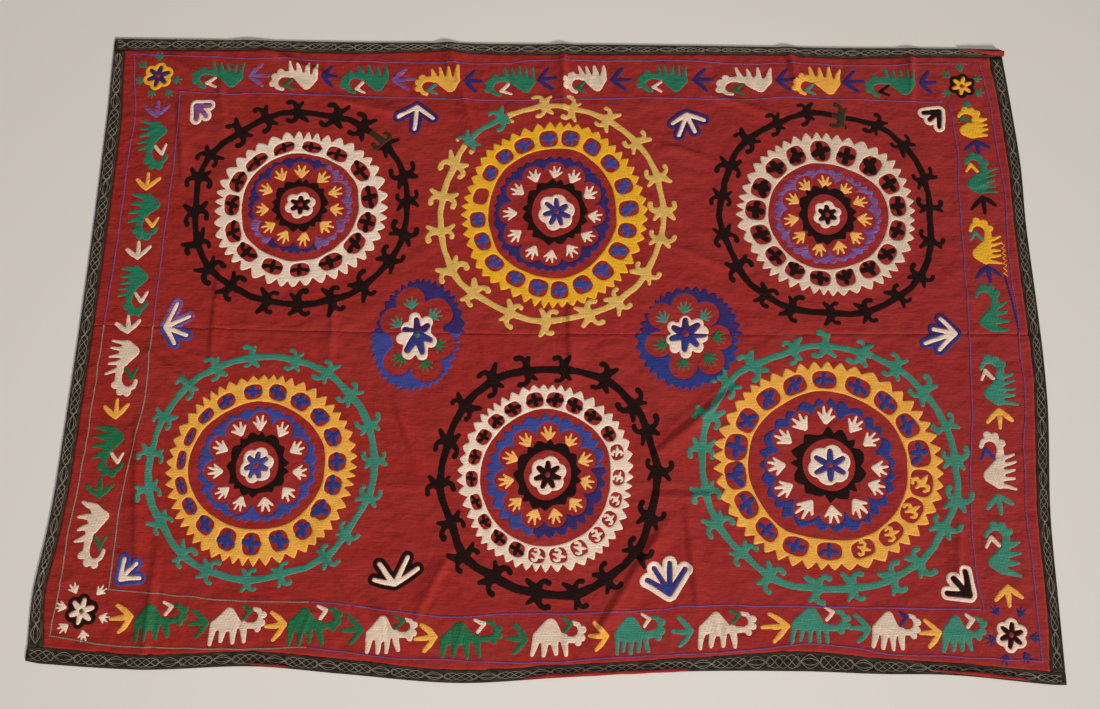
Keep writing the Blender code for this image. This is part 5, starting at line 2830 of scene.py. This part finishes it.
@dataclass(frozen=True)
class FacingRoll:
    """A place where the red facing has rolled up over the band, wound with a slight twist."""

    node: str
    rows: Sequence[RollStation]
    sides: int = 14
    step: float = 1.8
    lift: float = 0.5            # room for the cords under it, mm
    ridge: float = 0.09          # height of the winding's ridges, as a share of the breadth
    uneven: float = 0.07
    winding: float = 9.0         # mm along it for one radian

    def build(self) -> bpy.types.Object:
        """Makes the roll in place of its solid.

        Returns:
            The roll.
        """
        x = np.arange(self.rows[0].x, self.rows[-1].x, self.step)
        y = smooth_table(self.rows, "x", "y", x)
        half = smooth_table(self.rows, "x", "half", x)
        under = LIE.underside(x, y) + TRIM_THICKNESS + CLEARANCE + self.lift
        around = np.arange(self.sides + 1) * 2 * math.pi / self.sides
        winding = 2 * around[:, None] + (x / self.winding)[None, :]
        uneven = SmoothNoise(12.0, 88)(x, y)[None, :]
        radius = half[None, :] * (1 + self.ridge * (np.sin(winding) - 1) + self.uneven * uneven)
        aside = radius * np.cos(around)[:, None]
        upward = radius * np.sin(around)[:, None] * ROLL_FLATNESS
        grid_x = np.broadcast_to(x, aside.shape)
        points = np.stack([grid_x, y[None, :] + aside,
                           under[None, :] + half[None, :] * ROLL_FLATNESS + upward], axis=2)
        patch = Patch(points.reshape(-1, 3), [grid_faces(self.sides + 1, len(x))[:, ::-1]])
        roll = make_piece(self.node + "_cotton", patch, material_of(FACING))
        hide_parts(self.node)
        return roll


class Lamp(NamedTuple):
    """A soft light: its kind, where it stands and aims, its size in metres and its power."""

    name: str
    kind: str
    place: Tuple[float, float, float]
    aim: Tuple[float, float, float]
    size: float
    power: float
    colour: str


@dataclass(frozen=True)
class Studio:
    """The pale floor, the soft light and the camera at the photograph's angle."""

    floor_half: float = 6.0
    floor_level: float = -0.0006     # just clear of the cloth's underside
    floor_colour: str = "#d8d5d0"
    ambient: float = 0.17
    lamps: Tuple[Lamp, ...] = (
        Lamp("key_light", "SUN", (6.0, -7.6, 4.1), (0.0, 0.0, 0.0), 1.6, 3.9, "#fff5ea"),
        Lamp("fill_light", "AREA", (0.1, -0.42, 1.75), (0.1, -0.41, 0.0), 1.2, 15.2, "#f6f4f4"),
    )
    camera_place: Tuple[float, float, float] = (0.0201, -0.2911, 1.2906)
    camera_turn: Tuple[float, float, float] = (11.69, 0.718, 1.301)     # degrees
    camera_lens: float = 27.46
    sensor: float = 36.0

    def floor(self) -> None:
        """Lays the floor just under the cloth."""
        far = self.floor_half
        mesh = bpy.data.meshes.new("studio_floor")
        corners = [(x, y, self.floor_level)
                   for x, y in ((-far, -far), (far, -far), (far, far), (-far, far))]
        mesh.from_pydata(corners, [], [(0, 1, 2, 3)])
        material = new_material("matte_painted_floor", 0.9, 0.0, 0.2)
        shader = material.node_tree.nodes["Principled BSDF"]
        shader.inputs["Base Color"].default_value = linear(self.floor_colour)
        mesh.materials.append(material)
        floor = bpy.data.objects.new("studio_floor", mesh)
        bpy.context.scene.collection.objects.link(floor)
        floor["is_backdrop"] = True

    def light(self) -> None:
        """Sets the even surrounding light and the soft lamps."""
        world = bpy.data.worlds.new("soft_surround")
        world.use_nodes = True
        background = world.node_tree.nodes["Background"]
        background.inputs["Color"].default_value = linear("#f2f1ef")
        background.inputs["Strength"].default_value = self.ambient
        bpy.context.scene.world = world
        for row in self.lamps:
            towards = np.array(row.aim) - np.array(row.place)
            lamp = bpy.data.lights.new(row.name, row.kind)
            if lamp.type == "SUN":
                lamp.angle = row.size / float(np.linalg.norm(towards))
            else:
                lamp.size = row.size
            lamp.energy = row.power
            lamp.color = linear(row.colour)[:3]
            holder = bpy.data.objects.new(row.name, lamp)
            holder.location = row.place
            tilt = math.atan2(math.hypot(towards[0], towards[1]), -towards[2])
            turn = math.atan2(towards[1], towards[0]) - math.pi / 2
            holder.rotation_euler = (tilt, 0.0, turn)
            bpy.context.scene.collection.objects.link(holder)

    def camera(self) -> None:
        """Sets the camera where the photograph was taken from."""
        lens = bpy.data.cameras.new("photo_camera")
        lens.lens = self.camera_lens
        lens.sensor_width = self.sensor
        lens.clip_start = 0.05
        lens.clip_end = 50.0
        holder = bpy.data.objects.new("photo_camera", lens)
        holder.location = self.camera_place
        turn = [math.radians(angle) for angle in self.camera_turn]
        holder.rotation_euler = Euler(turn, "XYZ")
        bpy.context.scene.collection.objects.link(holder)
        bpy.context.scene.camera = holder

    def build(self) -> None:
        """Sets up the floor, the light and the camera."""
        self.floor()
        self.light()
        self.camera()
        bpy.context.scene.view_settings.view_transform = "Standard"


def write_sizes() -> None:
    """Rounds the solids' box and the dressed part's box into plain lists, and keeps neither."""
    for name, bounds in (("cad", CAD_BOUNDS), ("visual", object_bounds())):
        [[round(value, 5) for value in corner] for corner in bounds]


def main() -> None:
    logging.basicConfig(level=logging.INFO, format="%(message)s")
    upper = ClothPanel("panel_upper", True).build()
    lower = ClothPanel("panel_lower", False).build()
    bands = {band.node: band.build() for band in BANDS}
    rolls = {name: FacingRoll(name, rows).build() for name, rows in ROLLS.items()}
    far_stitches: Pieces = []
    near_stitches: Pieces = []
    for wheel in WHEELS:
        (far_stitches if "far" in wheel.name else near_stitches).extend(wheel.build())
    for rosette in ROSETTES:
        far_stitches.extend(rosette.build())
    far_stitches.extend(sewn("buds", [bud.stitchery(401 + 5 * number)
                                      for number, bud in enumerate(BUDS)]))
    far_stitches.extend(sewn("corners", [corner.stitchery(501 + 5 * number)
                                         for number, corner in enumerate(CORNERS)]))
    for border in BORDER:
        (near_stitches if border.side is Side.BOTTOM else far_stitches).extend(border.build())
    far_stitches.extend(BorderLines().build())
    for band in BANDS:
        riding = bands[band.node][1:]
        riding += [roll for name, roll in rolls.items()
                   if name.split("_")[2] == band.node.split("_")[1]]
        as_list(riding)
    Studio().build()
    write_sizes()


if __name__ == "__main__":
    main()
